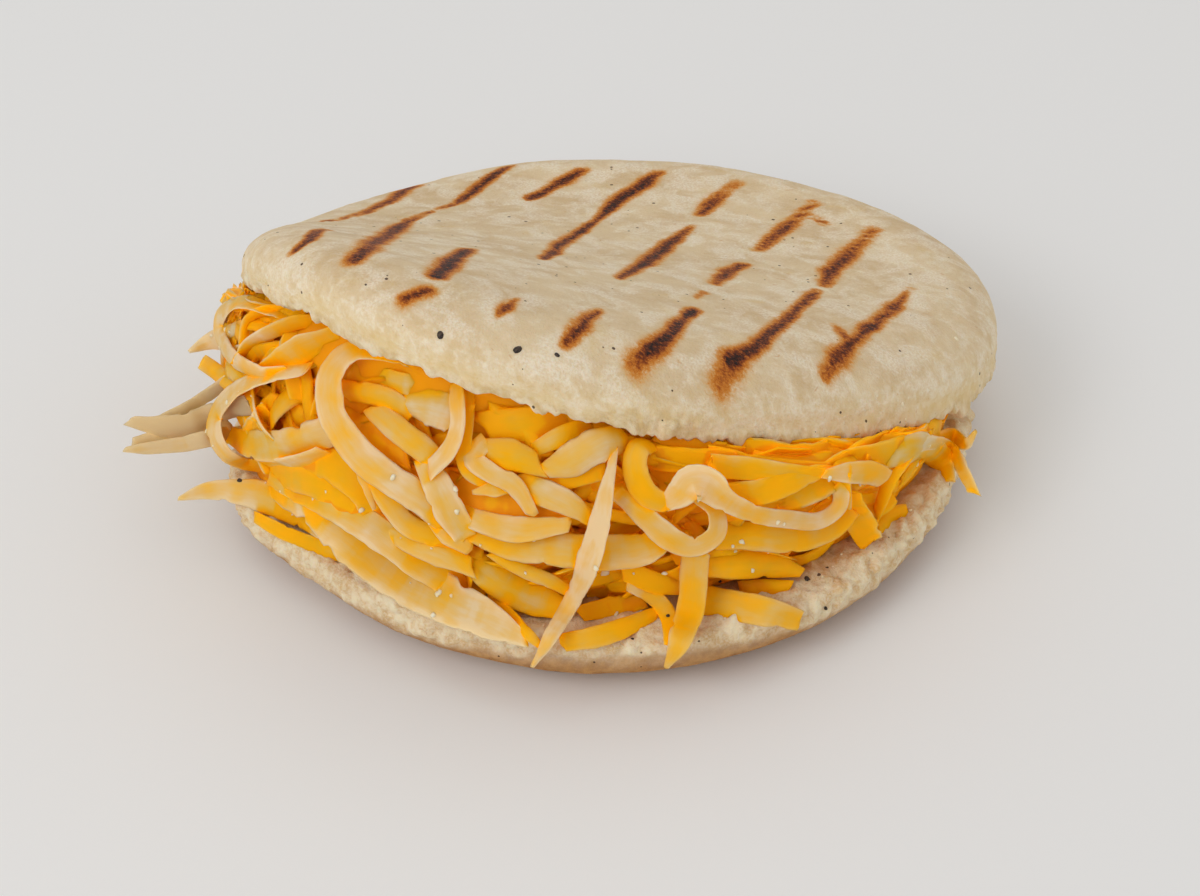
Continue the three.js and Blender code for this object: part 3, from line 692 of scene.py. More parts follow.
def keep_largest_shell(mesh):
    """Deletes what isn't joined to the main body."""
    work = bmesh.new()
    work.from_mesh(mesh)
    unseen = set(work.verts)
    shells = []
    while unseen:
        seed = unseen.pop()
        shell, edge = {seed}, [seed]
        while edge:
            vert = edge.pop()
            for link in vert.link_edges:
                other = link.other_vert(vert)
                if other in unseen:
                    unseen.discard(other)
                    shell.add(other)
                    edge.append(other)
        shells.append(shell)
    shells.sort(key=len)
    scraps = [vert for shell in shells[:-1] for vert in shell]
    if scraps:
        bmesh.ops.delete(work, geom=scraps, context="VERTS")
        work.to_mesh(mesh)
    work.free()


# The cheese

RISE = math.radians(LAYOUT_RISE)
FORWARD = np.array([0, math.cos(RISE), -math.sin(RISE)])
UPWARD = np.array([0, math.sin(RISE), math.cos(RISE)])
SIDEWAYS = np.array([1.0, 0, 0])
EYE = LAYOUT_AIM - LAYOUT_REACH * FORWARD

# A strip's cross-section, as shares of its half width and half thickness: crowned above, thin at its edges.
FINE_SECTION = [
    (-1, -0.35), (-0.9, 0.05), (-0.6, 0.55), (0, 0.9), (0.6, 0.55), (0.9, 0.05),
    (1, -0.35), (0.9, -0.65), (0.5, -0.7), (0, -0.6), (-0.5, -0.7), (-0.9, -0.65),
]
COARSE_SECTION = [
    (-1, -0.3), (-0.75, 0.4), (0, 0.9), (0.75, 0.4), (1, -0.3), (0.75, -0.7), (0, -0.6), (-0.75, -0.7),
]
FINE_STEP, COARSE_STEP = 0.5, 0.8
STRIP_WIDEN = 1.04
STRIP_CUP, STRIP_RIPPLE = 0.16, 0.045
RAGGED_WIDTHS, RAGGED_BY = [2, 3.5, 6], [0.08, 0.24, 0.42]  # a broad strip has more ragged edges
NICK_DEPTH, NICK_SIZE, NICK_LEVELS, LEAST_REACH = 1.3, 1.7, (0.45, 0.7), 0.22
END_TAPER = 1.3
TEAR_SIZE, TEAR_LONG, TEAR_REACH, TEAR_SLANT = 1.3, (0.4, 2.2), 1.4, 0.8

# The cheese material paints shade from how shut in a strip is.
# How shut in a strip is: rays that leave it towards the open air, and how far off a neighbour still counts.
SHADE_RAYS = 16
SHADE_REACH = 15
SHADE_START = 0.3
HEART = np.array([0, 12, 8])


def sight(across, up):
    """The line of sight through a point of the layout view, in millimetres from its middle."""
    return FORWARD + SIDEWAYS * (across / LAYOUT_REACH) + UPWARD * (up / LAYOUT_REACH)


def face_measure(points):
    """How far out points are on the heap's face: 1 on it, less inside."""
    return np.linalg.norm((points - FACE_CENTRE) / FACE_SIZE, axis=1)


def inside_base(points):
    radius, angle = polar(points)
    height = points[:, 2]
    low = np.clip((FOOT_RISE - height) / FOOT_RISE, 0, 1)
    inset = FOOT_INSET * (1 - np.sqrt(1 - low * low))
    return (height >= 0) & (height <= CUT_HEIGHT) & (radius < base_rim(angle) - inset)


sight_reaches = np.arange(LAYOUT_REACH - REACH_NEAR, LAYOUT_REACH + REACH_FAR, SIGHT_STEP)


def first_touch(ray):
    """How far along a line of sight it meets the heap or the lower half, or else passes nearest."""
    points = EYE + ray * sight_reaches[:, None]
    measure = face_measure(points)
    met = np.flatnonzero((measure < 1) | inside_base(points))
    return sight_reaches[met[0] if len(met) else np.argmin(measure)]


def place(across, up, proud):
    """The point that a stop stands for: proud is how far it stands out towards the eye."""
    ray = sight(across, up)
    point = EYE + ray * (first_touch(ray) - proud - SHRED_THICKNESS / 2)
    under = max(ceiling(point[0], point[1]), CUT_HEIGHT + 2 * SHRED_THICKNESS) - SHRED_THICKNESS
    point[2] = min(point[2], under)
    return point


def smooth_path(stops, count=240):
    """Points and shares of a smooth curve through the stops."""
    ends = np.vstack([2 * stops[0] - stops[1], stops, 2 * stops[-1] - stops[-2]])
    at = np.linspace(0, len(stops) - 1, count)
    part = np.minimum(at.astype(int), len(stops) - 2)
    t = (at - part)[:, None]
    p0, p1, p2, p3 = (ends[part + i] for i in range(4))
    pull, push = (p2 - p0) / 2, (p3 - p1) / 2
    cubed, squared = 2 * p1 - 2 * p2 + pull + push, 3 * p2 - 3 * p1 - 2 * pull - push
    return cubed * t**3 + squared * t**2 + pull * t + p1, at / (len(stops) - 1)


def unit(vectors):
    return vectors / np.maximum(np.linalg.norm(vectors, axis=-1, keepdims=True), 1e-9)


def rolled(vectors, axes, degrees):
    turn = np.radians(degrees)[:, None]
    dot = np.sum(vectors * axes, axis=1, keepdims=True)
    return vectors * np.cos(turn) + np.cross(axes, vectors) * np.sin(turn) + axes * dot * (1 - np.cos(turn))


class Pile:
    """Collects closed tubes into one mesh."""

    def __init__(self):
        self.points, self.faces, self.count = [], [], 0

    def pile_up(self, rings, order=1):
        """Adds a tube; order is -1 where its faces have to be turned over."""
        points, faces = closed_tube(rings)
        self.points.append(points)
        self.faces += [[self.count + corner for corner in face[::order]] for face in faces]
        self.count += len(points)

    def build(self, name, slot, material, *nodes, **values):
        self.piece = new_object(name, np.vstack(self.points), self.faces, **values)
        return as_piece(self.piece, slot, material, *nodes)


class Strips(Pile):
    """Collects strips into one mesh, with what the cheese material reads."""

    def __init__(self, section, step):
        super().__init__()
        self.section, self.step = np.array(section, float), step
        self.grain, self.edge, self.tone, self.rings = [], [], [], []

    def add(self, path, shares, outward, roll, widths, thickness, tone, seed):
        """A strip along a path. outward is the direction that its broad side faces before it is rolled."""
        run = np.append(0, np.cumsum(np.linalg.norm(np.diff(path, axis=0), axis=1)))
        at = np.linspace(0, run[-1], max(6, round(run[-1] / self.step)))
        centre, out = (
            np.column_stack([np.interp(at, run, part) for part in rows.T]) for rows in (path, outward)
        )
        share = np.interp(at, run, shares)
        along = unit(np.gradient(centre, axis=0))
        side = rolled(unit(np.cross(along, out)), along, np.interp(share, [0, 1], roll))
        face = np.cross(side, along)
        width = STRIP_WIDEN * np.interp(share, np.linspace(0, 1, len(widths)), widths)
        left, right = (self.torn_edge(at, width, seed + hand) for hand in (0, 1))
        from_end = np.minimum(at, run[-1] - at)
        wide, deep = self.section.T
        across = np.where(wide < 0, left[:, None] * wide, right[:, None] * wide)
        where = np.stack(np.broadcast_arrays(at[:, None], across, seed * 3.7 % 97), axis=-1)
        ripple = grain(where.reshape(-1, 3) * [0.35, 1, 1], 2.6, seed + 12).reshape(across.shape)
        cup = (line_grain(at, 15, seed + 8) * STRIP_CUP)[:, None] * (wide**2 - 0.3) * width[:, None]
        lift = STRIP_RIPPLE * ripple * np.clip(width, 2, 7)[:, None] + cup
        blunt = 0.5 + 0.5 * smooth(0, END_TAPER, from_end)
        lift += thickness / 2 * blunt[:, None] * deep
        rings = centre[:, None] + side[:, None] * across[..., None] + face[:, None] * lift[..., None]
        hand = 3.1 * (at > run[-1] / 2)
        spots = np.stack(np.broadcast_arrays(across, hand[:, None], 0.5), axis=-1).reshape(-1, 3)
        tear = grain(spots, TEAR_SIZE, seed + 9, 2).reshape(across.shape)
        tear *= np.clip(0.5 * width, *TEAR_LONG)[:, None]
        ends = lattice(np.array([[seed, 1, 0], [seed, 2, 0]]), 9)
        slant = np.where(hand > 0, *ends) * 2 * TEAR_SLANT - TEAR_SLANT
        tear += slant[:, None] * across
        rings += along[:, None] * (tear * np.exp(-from_end / TEAR_REACH)[:, None])[..., None]
        self.keep(rings, where, tone)

    def torn_edge(self, at, width, seed):
        """How far out a strip's edge lies, in millimetres: wavy, and more ragged where the strip is broad."""
        ragged = np.interp(width, RAGGED_WIDTHS, RAGGED_BY)
        reach = width / 2 + 0.06 * width * line_grain(at, 8, seed)
        reach += 0.035 * width * line_grain(at, 3.4, seed + 5)
        reach += ragged * (0.3 * line_grain(at, 2.4, seed + 2) + 0.55 * line_grain(at, 1.1, seed + 6))
        reach -= NICK_DEPTH * ragged * smooth(*NICK_LEVELS, line_grain(at, NICK_SIZE, seed + 4))
        return np.clip(reach, LEAST_REACH, None)

    def keep(self, rings, where, tone):
        self.pile_up(rings, -1)
        flat = where.reshape(-1, 3)
        self.grain.append(np.vstack([flat, flat[0], flat[-1]]))
        brim = np.broadcast_to(np.abs(self.section[:, 0]) ** 3, rings.shape[:2]).ravel()
        self.edge.append(np.append(brim, [1, 1]))
        self.tone.append(np.full(len(flat) + 2, tone))
        self.rings.append(rings)

    def as_cheese(self, name, material):
        edge, tone = np.concatenate(self.edge), np.concatenate(self.tone)
        self.build(name, "cheese", material, "cheese", strip=np.vstack(self.grain), edge=edge, tone=tone)
        return self

    def shade(self, around):
        """Writes how shut in each point is, from 0 in the open to 1 deep in the heap, for the painted shade.
        """
        quarter_turn = len(self.section) // 4
        corner = np.arange(len(self.section)) / quarter_turn
        shades = []
        for rings in self.rings:
            probes = rings[:, ::quarter_turn]
            out = unit(probes - rings.mean(axis=1, keepdims=True)) * 0.6 + unit(probes - HEART)
            shade = shut_in(probes.reshape(-1, 3), unit(out).reshape(-1, 3), around).reshape(-1, 4)
            shade = np.column_stack([shade, shade[:, 0]])
            ring = np.array([np.interp(corner, np.arange(5), row) for row in shade])
            shades += [ring.ravel(), ring[0].mean(keepdims=True), ring[-1].mean(keepdims=True)]
        put_value(self.piece.data, "shut", np.concatenate(shades))


def shut_in(points, outward, tree):
    """How much of the air outside each point its neighbours take up, from 0 to 1."""
    number = np.arange(SHADE_RAYS) + 0.5
    height, turn = np.sqrt(1 - number / SHADE_RAYS), number * math.pi * (3 - math.sqrt(5))
    spread = np.sqrt(1 - height**2)
    first = unit(np.cross(outward, [0.31, 0.95, 0.05]))
    second = np.cross(outward, first)
    rays = outward[:, None] * height[:, None] + first[:, None] * (spread * np.cos(turn))[:, None]
    rays += second[:, None] * (spread * np.sin(turn))[:, None]
    starts = points[:, None] + rays * SHADE_START
    near = []
    for start, ray in zip(starts.reshape(-1, 3).tolist(), rays.reshape(-1, 3).tolist()):
        distance = tree.ray_cast(start, ray, SHADE_REACH)[3]
        near.append(0 if distance is None else 1 - distance / SHADE_REACH)
    return np.array(near).reshape(-1, SHADE_RAYS).mean(axis=1)


def tree_of(*objects):
    """One search tree over the objects' meshes, in millimetres."""
    points, faces = [], []
    for obj in objects:
        first = len(points)
        points += [vertex.co / MM for vertex in obj.data.vertices]
        faces += [[first + corner for corner in face.vertices] for face in obj.data.polygons]
    return BVHTree.FromPolygons(points, faces)


# A shred is its tone, from 0, pale, to 1, deep, and below 0 greyed as painted shade, its roll in degrees,
# at both ends where it twists, and its stops: [across, up, proud, width].
SHREDS = [
    # curls that spring out of the left end of the mouth
    (0.1, 55, [-43, 21.5, 0, 3], [-49, 22.9, 2, 3.2], [-54.5, 23, 3, 3.2], [-57.6, 20, 3.5, 3.2],
     [-57.6, 16.5, 3.5, 3.2], [-55, 13, 3, 3.2], [-51, 11.2, 3, 3], [-47, 11.5, 1, 2.6]),
    (0.1, 55, [-44, 12.2, 1, 3], [-49, 11.2, 2.5, 3.4], [-54.5, 9, 3.5, 3.4], [-57.8, 5.5, 4, 3.4],
     [-58.3, 2, 4, 3.4], [-56.3, -1.2, 3.5, 3.4], [-52, -2.6, 3, 3.4], [-46, -2, 2.5, 3.4],
     [-41.5, -0.5, 1, 3]),
    (0.25, 15, [-56, 2, 0, 2.5], [-52.5, 0.6, 1, 4], [-48, 0.6, 2, 4.6], [-43.5, 1.8, 2, 4.6],
     [-39, 3.5, 1, 4]),
    (0.15, (55, 10), [-28, 13, 0, 3.4], [-33, 14.9, 1.5, 3.8], [-37.5, 14.7, 3, 4], [-40.6, 11.5, 4, 4.2],
     [-41, 7, 4.5, 4.2], [-39.5, 3, 4.5, 4.2], [-36.5, -1, 4.5, 4.4], [-32, -4.6, 4, 4.6], [-27, -8, 3, 4.4],
     [-22.5, -11.5, 1.5, 4]),
    (0.2, 30, [-55, 12.8, 1, 2.2], [-53, 15.8, 1.5, 2.2], [-49.5, 17.8, 1.5, 2.2], [-45, 19.4, 1, 2.2],
     [-40.5, 20.6, 0, 2.2]),
    (0.5, 40, [-53.9, 15.5, 0, 2], [-53.2, 19.3, 0.5, 2], [-50, 21.6, 0.5, 2], [-46, 22, -0.5, 2]),
    (0.2, (20, 45), [-52.6, 11.3, 2.5, 0.8], [-48, 13.6, 2.5, 3.6], [-44, 15.6, 2, 4.6], [-39.5, 17, 1, 3.8],
     [-35, 16.8, 0, 3]),
    # loose ends that stick out past the rim on the left
    (0.6, 10, [-57, 25.2, -1, 1.6], [-56.5, 22.5, -1, 1.8], [-54, 20.5, -2, 1.8]),
    (-0.2, 10, [-54, 17.8, -2, 3.2], [-58.5, 16.4, -1, 3], [-62.2, 14.6, -1, 0.5]),
    (0.6, 15, [-60.6, 13.2, 0, 2.2], [-58, 11.5, 0.5, 2.4], [-55.5, 9.6, 0.5, 2.4], [-52, 8, -1, 2.4]),
    (-0.5, 20, [-71.5, 4.2, -1, 1.6], [-66.5, 3.2, -0.5, 3.2], [-62, 3.6, 0, 3.4], [-58, 5.4, 0.5, 3.2],
     [-53, 6.5, -1, 3]),
    (-0.5, 35, [-66.5, 4.6, -2, 0.8], [-63, 5.8, -2, 2], [-60, 7.6, -2, 2.2], [-56, 10.5, -2, 2.2]),
    (-0.3, 15, [-72, -0.2, -1, 0.7], [-69, 0, -1, 1.8], [-63.5, 0.6, -0.5, 2.2], [-58.5, 1.5, 0, 2.6],
     [-54, 2, -1, 2.4]),
    (-0.4, 10, [-70.8, 1, -1.5, 1], [-67, 1.8, -1.5, 1.8], [-62, 2.6, -1.5, 1.8], [-56, 3.6, -2, 1.8]),
    # wide shreds that lie along the lower left lip
    (0.15, 5, [-64, -7.7, 1, 0.5], [-59, -6.4, 1.5, 2.6], [-53, -7, 2, 4.6], [-46, -9.3, 2, 4.6],
     [-38, -14, 2, 4]),
    (0.75, 30, [-52.3, -10.3, -0.5, 1.6], [-48, -12.8, 0, 2.6], [-43.5, -14.6, 0.5, 2.6],
     [-38, -16.8, 0, 2]),
    (0.05, 5, [-51, -5, 2, 2.4], [-44, -8.5, 3, 5.6], [-38, -13, 3.5, 7], [-31, -18.6, 3.5, 7.6],
     [-24, -22.6, 3.5, 6.6], [-17, -26, 3, 5], [-10.8, -29.4, 2.5, 1.6]),
    (0.2, 10, [-50, -4.5, 1.5, 2], [-43, -7.6, 2.5, 4], [-36, -11.2, 3, 4.6], [-30, -15.5, 3, 4.6],
     [-24, -19.5, 2.5, 4.2], [-17.5, -22.6, 1.5, 2]),
    (0.85, 20, [-52, -3, 0, 3], [-46, -4.2, 1, 5], [-40, -6.5, 1.5, 5], [-35, -10, 1, 4.6],
     [-30, -13.5, 0.5, 4]),
    (0.9, 15, [-46, -1, 0, 3], [-41, -2.6, 0.5, 4.6], [-36.5, -5.5, 0.5, 4.6], [-33.5, -10, 0, 4]),
    (0.15, 10, [-36.6, -0.5, 1, 1.6], [-35.6, -4.5, 2.5, 2.2], [-34.2, -9.3, 2.5, 0.6]),
    (0.45, 15, [-34.5, -3.5, 1.5, 2], [-32.3, -7.5, 2.5, 3], [-29.5, -11.3, 2.5, 3], [-25, -13.3, 2, 3],
     [-20, -14.8, 1, 2.6]),
    (0.35, 10, [-33, -11.8, 1, 2.6], [-28.5, -14, 2.5, 3.4], [-24, -15.8, 3, 3.8], [-19.3, -18, 3.2, 2.6]),
    (0.4, 12, [-26, -10.3, 1.5, 1.6], [-23, -13, 2.5, 2.8], [-19.5, -15.2, 2, 2]),
    (0.8, 20, [-36, -9, 0, 3.4], [-30, -12.2, 0.5, 3], [-24, -14.6, 0.5, 3], [-18, -16.6, 0, 3]),
    # inside the big curl and just right of it
    (0.3, 15, [-38, 11.5, -0.5, 2.6], [-34, 11, 0, 2.8], [-29.5, 9.8, 0.5, 2.8], [-24.5, 9.2, 0, 2.4]),
    (0.35, 20, [-39, 8.6, 0, 3], [-35, 8.2, 0.8, 3], [-31.5, 7, 0.8, 3], [-28.5, 4.8, 0, 2.6]),
    (0.3, 15, [-34.5, 6, 1, 2.4], [-31.5, 3.2, 2, 3.4], [-28, 0.4, 2, 3.4], [-24.5, -2.4, 1.5, 3]),
    (0.7, 15, [-38.5, 7, -1, 3], [-37, 3.5, -0.5, 4], [-34, 1.6, 0, 4], [-29, -1, 0, 3.4]),
    (0.1, 10, [-30, 6.8, 0, 3], [-26, 6.2, 1, 5.2], [-21, 4.4, 1, 4.6]),
    (0.15, (45, 25), [-22, 11, 1, 2.4], [-21.8, 7, 3, 2.6], [-21.8, 3, 3.6, 2.6], [-23.3, -0.6, 3.6, 2.6],
     [-25.8, -3.4, 3, 2.2]),
    (0.15, 20, [-27.2, -1.6, 1.5, 2], [-24.8, -5.5, 3, 4], [-22.8, -9.5, 3, 4.2], [-20.3, -13.8, 2, 3]),
    (0.4, 20, [-20.3, 9, 0.5, 2.4], [-20.4, 4.5, 1, 2.6], [-20.6, 0, 1.5, 2.6], [-19.6, -3.6, 1.5, 2.4],
     [-16.5, -5.4, 1, 2]),
    # the middle of the mouth
    (0.85, 10, [-17.5, 3, 0, 4], [-11, 3.6, 0.5, 4.6], [-4.5, 5, 0, 3.6]),
    (0.7, 15, [-16.8, 6, 0, 2.6], [-12, 3.2, 0.3, 3], [-8.5, -1.5, 0.3, 3]),
    (0.2, (15, 25), [-17, 1.5, 1, 2.2], [-19.2, -1.4, 2, 2.8], [-16.8, -3.7, 2.5, 2.8],
     [-13, -5.8, 2.5, 2.8], [-10.2, -10, 2.5, 1.8]),
    (0.2, 10, [-19.4, -6.7, 1.5, 0.6], [-16, -6.2, 1.5, 2.4], [-12.5, -5.4, 1, 1.4]),
    (0.4, 10, [-18, -0.2, 1, 2.6], [-13.8, -0.9, 2, 4.2], [-9, -2.4, 1.5, 2.6]),
    (0.9, 10, [-24, -5, -1, 3], [-18.5, -8, 0, 4.6], [-12, -9.8, 0.5, 4.4], [-4.5, -10.4, 0.5, 3]),
    (0.3, 12, [-13, -4.2, 1, 2.4], [-8.5, -7, 2, 3.6], [-4.5, -8.9, 2.4, 3.4], [-1.3, -10.8, 2.4, 2]),
    (0.35, 12, [-24, -8.6, 0.5, 2.6], [-18, -11.2, 1.8, 3.2], [-12, -12.2, 2.4, 3.6], [-4.5, -11.6, 2.4, 2]),
    (0.3, 10, [-19.5, -12.6, 1, 2.6], [-13, -14.8, 1.6, 4], [-6, -15.4, 2, 4.6], [0, -15.8, 2, 4.8],
     [6, -15.2, 1.6, 4.4], [11, -13, 0.5, 3.4]),
    (0.5, 25, [-16.5, -15.8, 1, 1.8], [-12.5, -18.2, 2, 2.2], [-8, -20, 2.4, 2.2], [-3.5, -22.4, 2, 1.6]),
    (0.3, 10, [-19, -17.5, 1, 3.6], [-14.5, -20.8, 1.6, 5], [-9.5, -23, 2, 5], [-4.5, -24.8, 2, 2.4]),
    (0.6, 20, [-17, -22.2, 1.5, 1.2], [-13.6, -25.2, 3, 1.6], [-10.6, -28.6, 3, 1.6], [-8.6, -30.5, 3, 0.7]),
    (-0.05, (12, 22), [2.4, 0.5, 1, 0.9], [1.1, -5.5, 3.6, 1.9], [0, -11, 5, 2.9], [-1.6, -17, 5.6, 3.1],
     [-4.6, -23.5, 5.4, 2.3], [-7.8, -29, 4.6, 2], [-10.4, -33.2, 4, 0.6]),
    (0.3, 10, [-8.5, -3.8, 1.5, 2], [-4.5, -2.2, 2.4, 4.6], [0, 0.4, 2.4, 5], [4.2, 3.4, 0.5, 3.4]),
    (0.4, 12, [-10.5, -0.5, 0.5, 1.6], [-6, 1.6, 1.2, 3], [-1, 4.2, 0, 3]),
    (0.5, 15, [-12.5, -5.5, 0, 2], [-6.5, -5.2, 0.5, 2.2], [0.5, -3.6, 0.8, 2.2]),
    # the pale arch, and what curls round it
    (0.6, (35, 20), [7.8, 3.4, 0, 2.6], [5.6, 0, 1.8, 3.2], [5.2, -3.6, 2.4, 3.4], [7.2, -7.2, 2.8, 3.2],
     [10.6, -8.7, 3, 2.6]),
    (-0.05, 10, [9.4, -9, 2.4, 1.8], [12.2, -7, 4.4, 3.8], [13.8, -5.2, 5.4, 5], [16.5, -5.5, 5.4, 4.6],
     [19, -7.9, 4.6, 3.2], [23, -9.9, 3.6, 2.6], [28, -10.7, 3, 2.4], [33, -10.9, 2.4, 2.4],
     [36.2, -8.8, 2.2, 2.2], [36.4, -5, 1, 2]),
    (0.2, (20, 45), [2.4, -6.6, 0.5, 2.2], [5.8, -9.4, 2, 3], [10, -13, 2.8, 3.6], [14, -14.8, 3.2, 3.4],
     [17.3, -13, 3.2, 3.4], [17.4, -9.5, 2, 3.2], [14.5, -7, 0.5, 3]),
    (0.4, 10, [14.6, -14.5, 1.5, 3.2], [14.2, -20, 3.2, 3.8], [13.6, -25, 3.8, 3.8], [12, -29.5, 3.6, 3],
     [10, -33.3, 3.2, 0.7]),
    (0.9, 12, [7.5, 1.6, -1, 3.2], [13, 1.8, -0.6, 3.4], [19, 1.4, -1, 3]),
    (0.9, 12, [7, -1.6, -0.6, 3.2], [13, -1.9, 0, 3.2], [20, -2, -0.6, 3]),
    (0.9, 15, [7.5, -5, -1, 4.2], [13, -5.2, -0.6, 4], [19, -5, -1, 3]),
    (0.25, 12, [4.2, -20.5, 1, 1.8], [8, -22.4, 1.6, 2.2], [10.3, -25.3, 1.8, 2.4], [10.6, -30, 1.6, 1.6]),
    (0.55, 12, [-6, -29.6, 1, 2.6], [-1, -28.6, 1.6, 3], [4, -27, 1.6, 2.8], [9, -25, 1, 1.8]),
    (0.5, 15, [-3, -25.2, 0.6, 2.4], [2, -24, 1, 3], [7, -23.2, 0.6, 1.8]),
    (0.9, 20, [3.5, -18.2, 0, 3], [8, -20.2, 0.4, 3], [12.5, -21, 0, 2.4]),
    # the right of the mouth
    (0.6, 10, [16, -17.6, 1, 3.4], [22, -17.8, 1.6, 4], [27, -17.9, 2, 3.6], [30.8, -19, 2, 1.4]),
    (0.3, 8, [15, -22.8, 1.6, 4], [20, -23.6, 2, 4.2], [25.5, -24.7, 2, 4], [30.3, -26.2, 2, 2.8]),
    (0.6, 15, [21, -21.4, 0, 2.4], [25, -21.2, 0.5, 2.6], [29, -20.8, 0.5, 1.4]),
    (0.4, 12, [17.5, -13.2, 0, 4], [24, -13.4, 1, 4], [30, -13.6, 1.6, 3.6], [35, -12.3, 1.6, 3],
     [38.5, -9.3, 0.6, 2.4]),
    (0.6, 12, [17, -2.6, 0.6, 3.2], [24, -2.6, 1.4, 3], [30, -2.1, 1.8, 2.2], [35.6, -1.9, 1.6, 0.7]),
    (0.7, 14, [18, -6.6, 1, 2.4], [24, -6.8, 2, 3.4], [29, -5, 2, 3], [33, -2.9, 1.6, 2],
     [35.6, -1.6, 1, 0.7]),
    (0.7, 20, [17, 1, 0, 2.6], [24, 0.8, 0.5, 2.2], [30, 0.3, 0.6, 1.8], [35, -1.2, 0.4, 1.2]),
    (0.3, 10, [39.2, 3, 0, 2.6], [37.4, 0, 1, 3], [36.4, -4, 1.2, 3.2], [36.8, -9, 1, 2.4]),
    (0.15, 8, [33.8, -3.1, 2, 1.2], [37, -3, 2.6, 2.6], [40.5, -3.8, 2.6, 3], [43.4, -4.7, 2.4, 2.8]),
    (0.6, 25, [47, -0.6, 0.6, 1.6], [44, -4.5, 1.4, 2], [42.6, -8, 1.4, 1.8], [41, -12.3, 1, 1.2]),
    (0.4, 8, [37.6, -6.5, 0, 3], [38.8, -10.5, 0.8, 4.4], [41, -14.4, 0.8, 3.4]),
    (0.5, 25, [42, -12.6, 0, 2.6], [44, -10.4, 0.2, 3], [47, -9.4, 0, 2]),
    (0.3, 12, [44, 2.6, 0.5, 3], [48.5, 1.2, 1.8, 4.2], [51.3, -1.8, 2, 4], [53, -5, 1.6, 1.2]),
    (-0.05, 20, [46.5, 4.4, 1, 1.8], [50.2, 3, 2.6, 2], [53, 0, 3, 2], [55.2, -4, 3, 1.9],
     [56.6, -7, 3, 1.7]),
    (0.25, 20, [50, 4.8, 0, 2.2], [53.3, 1.6, 1, 2.6], [55.6, 0.6, 1.6, 1.6], [57, 2.5, 1.6, 0.5]),
]

# Painted shade: the right of the heap, in the lid's shadow, is coloured deeper; the far left is made paler.
RIGHT_PAINTED_SHADE, LEFT_PALER = 0.2, 0.5  # the right of the heap lies deeper under the lid
THINNEST, THICKER = 0.5, 0.28
FILL_COUNT = 480
FILL_AROUND = (-193, -14)  # degrees
FILL_DEPTH, FILL_HALF = (0.9, 3.9), (5, 14)
FILL_WIDTH, FILL_THICKNESS = (2, 4.6), (0.6, 1)
FILL_TONE = (0.3, 1)
FILL_NARROWED = ((0.6, 1), (0.9, 1.1), (0.5, 1))  # at one end, past the middle and at the other end
FILL_TILT, FILL_BOW, FILL_ROLL, FILL_TWIST = 0.42, 0.12, 22, 25  # how far these mostly stray from 0
FILL_DIP, FILL_WANDER, FILL_WANDER_SIZE = 1.1, 0.6, 9
FILL_KEEP_IN = 0.01
HEAP_RADIUS, MOUTH_GAP, GAP_AT_SIDES = 50, 26, 0.35
FILL_SEED = 5


def make_shreds(material):
    strips = Strips(FINE_SECTION, FINE_STEP)
    for number, (tone, roll, *stops) in enumerate(SHREDS):
        path, shares = smooth_path(np.array([place(*stop[:3]) for stop in stops]))
        widths = [stop[3] for stop in stops]
        thickness = THINNEST + THICKER * (number * 7 % 5) / 4
        middle = path[:, 0].mean()
        # Painted shade: deeper colour on the right of the mouth.
        tone += RIGHT_PAINTED_SHADE * smooth(0, 24, middle) * (1 - smooth(36, 44, middle))
        roll = np.broadcast_to(roll, 2)
        strips.add(path, shares, unit(EYE - path), roll, widths, thickness, tone, 10 * number + 1)
    return strips.as_cheese("cheese_shreds", material)


def on_heap(angle, share, depth):
    """Points of the heap's face by angle round the cake and share of the mouth's height."""
    angle, share, depth = np.broadcast_arrays(angle, share, depth)
    height = CUT_HEIGHT + 8 * share
    for _ in range(6):
        bulge = np.sqrt(np.clip(1 - ((height - FACE_CENTRE[2]) / FACE_SIZE[2]) ** 2, 0, 1))
        x = FACE_CENTRE[0] + (FACE_SIZE[0] * bulge - depth) * np.cos(angle)
        y = FACE_CENTRE[1] + (FACE_SIZE[1] * bulge - depth) * np.sin(angle)
        low, high = CUT_HEIGHT + 1.1, ceiling(x, y) - 1.1
        height = low + (np.maximum(high, low + 0.1) - low) * share
    return np.stack([x, y, height], axis=-1)


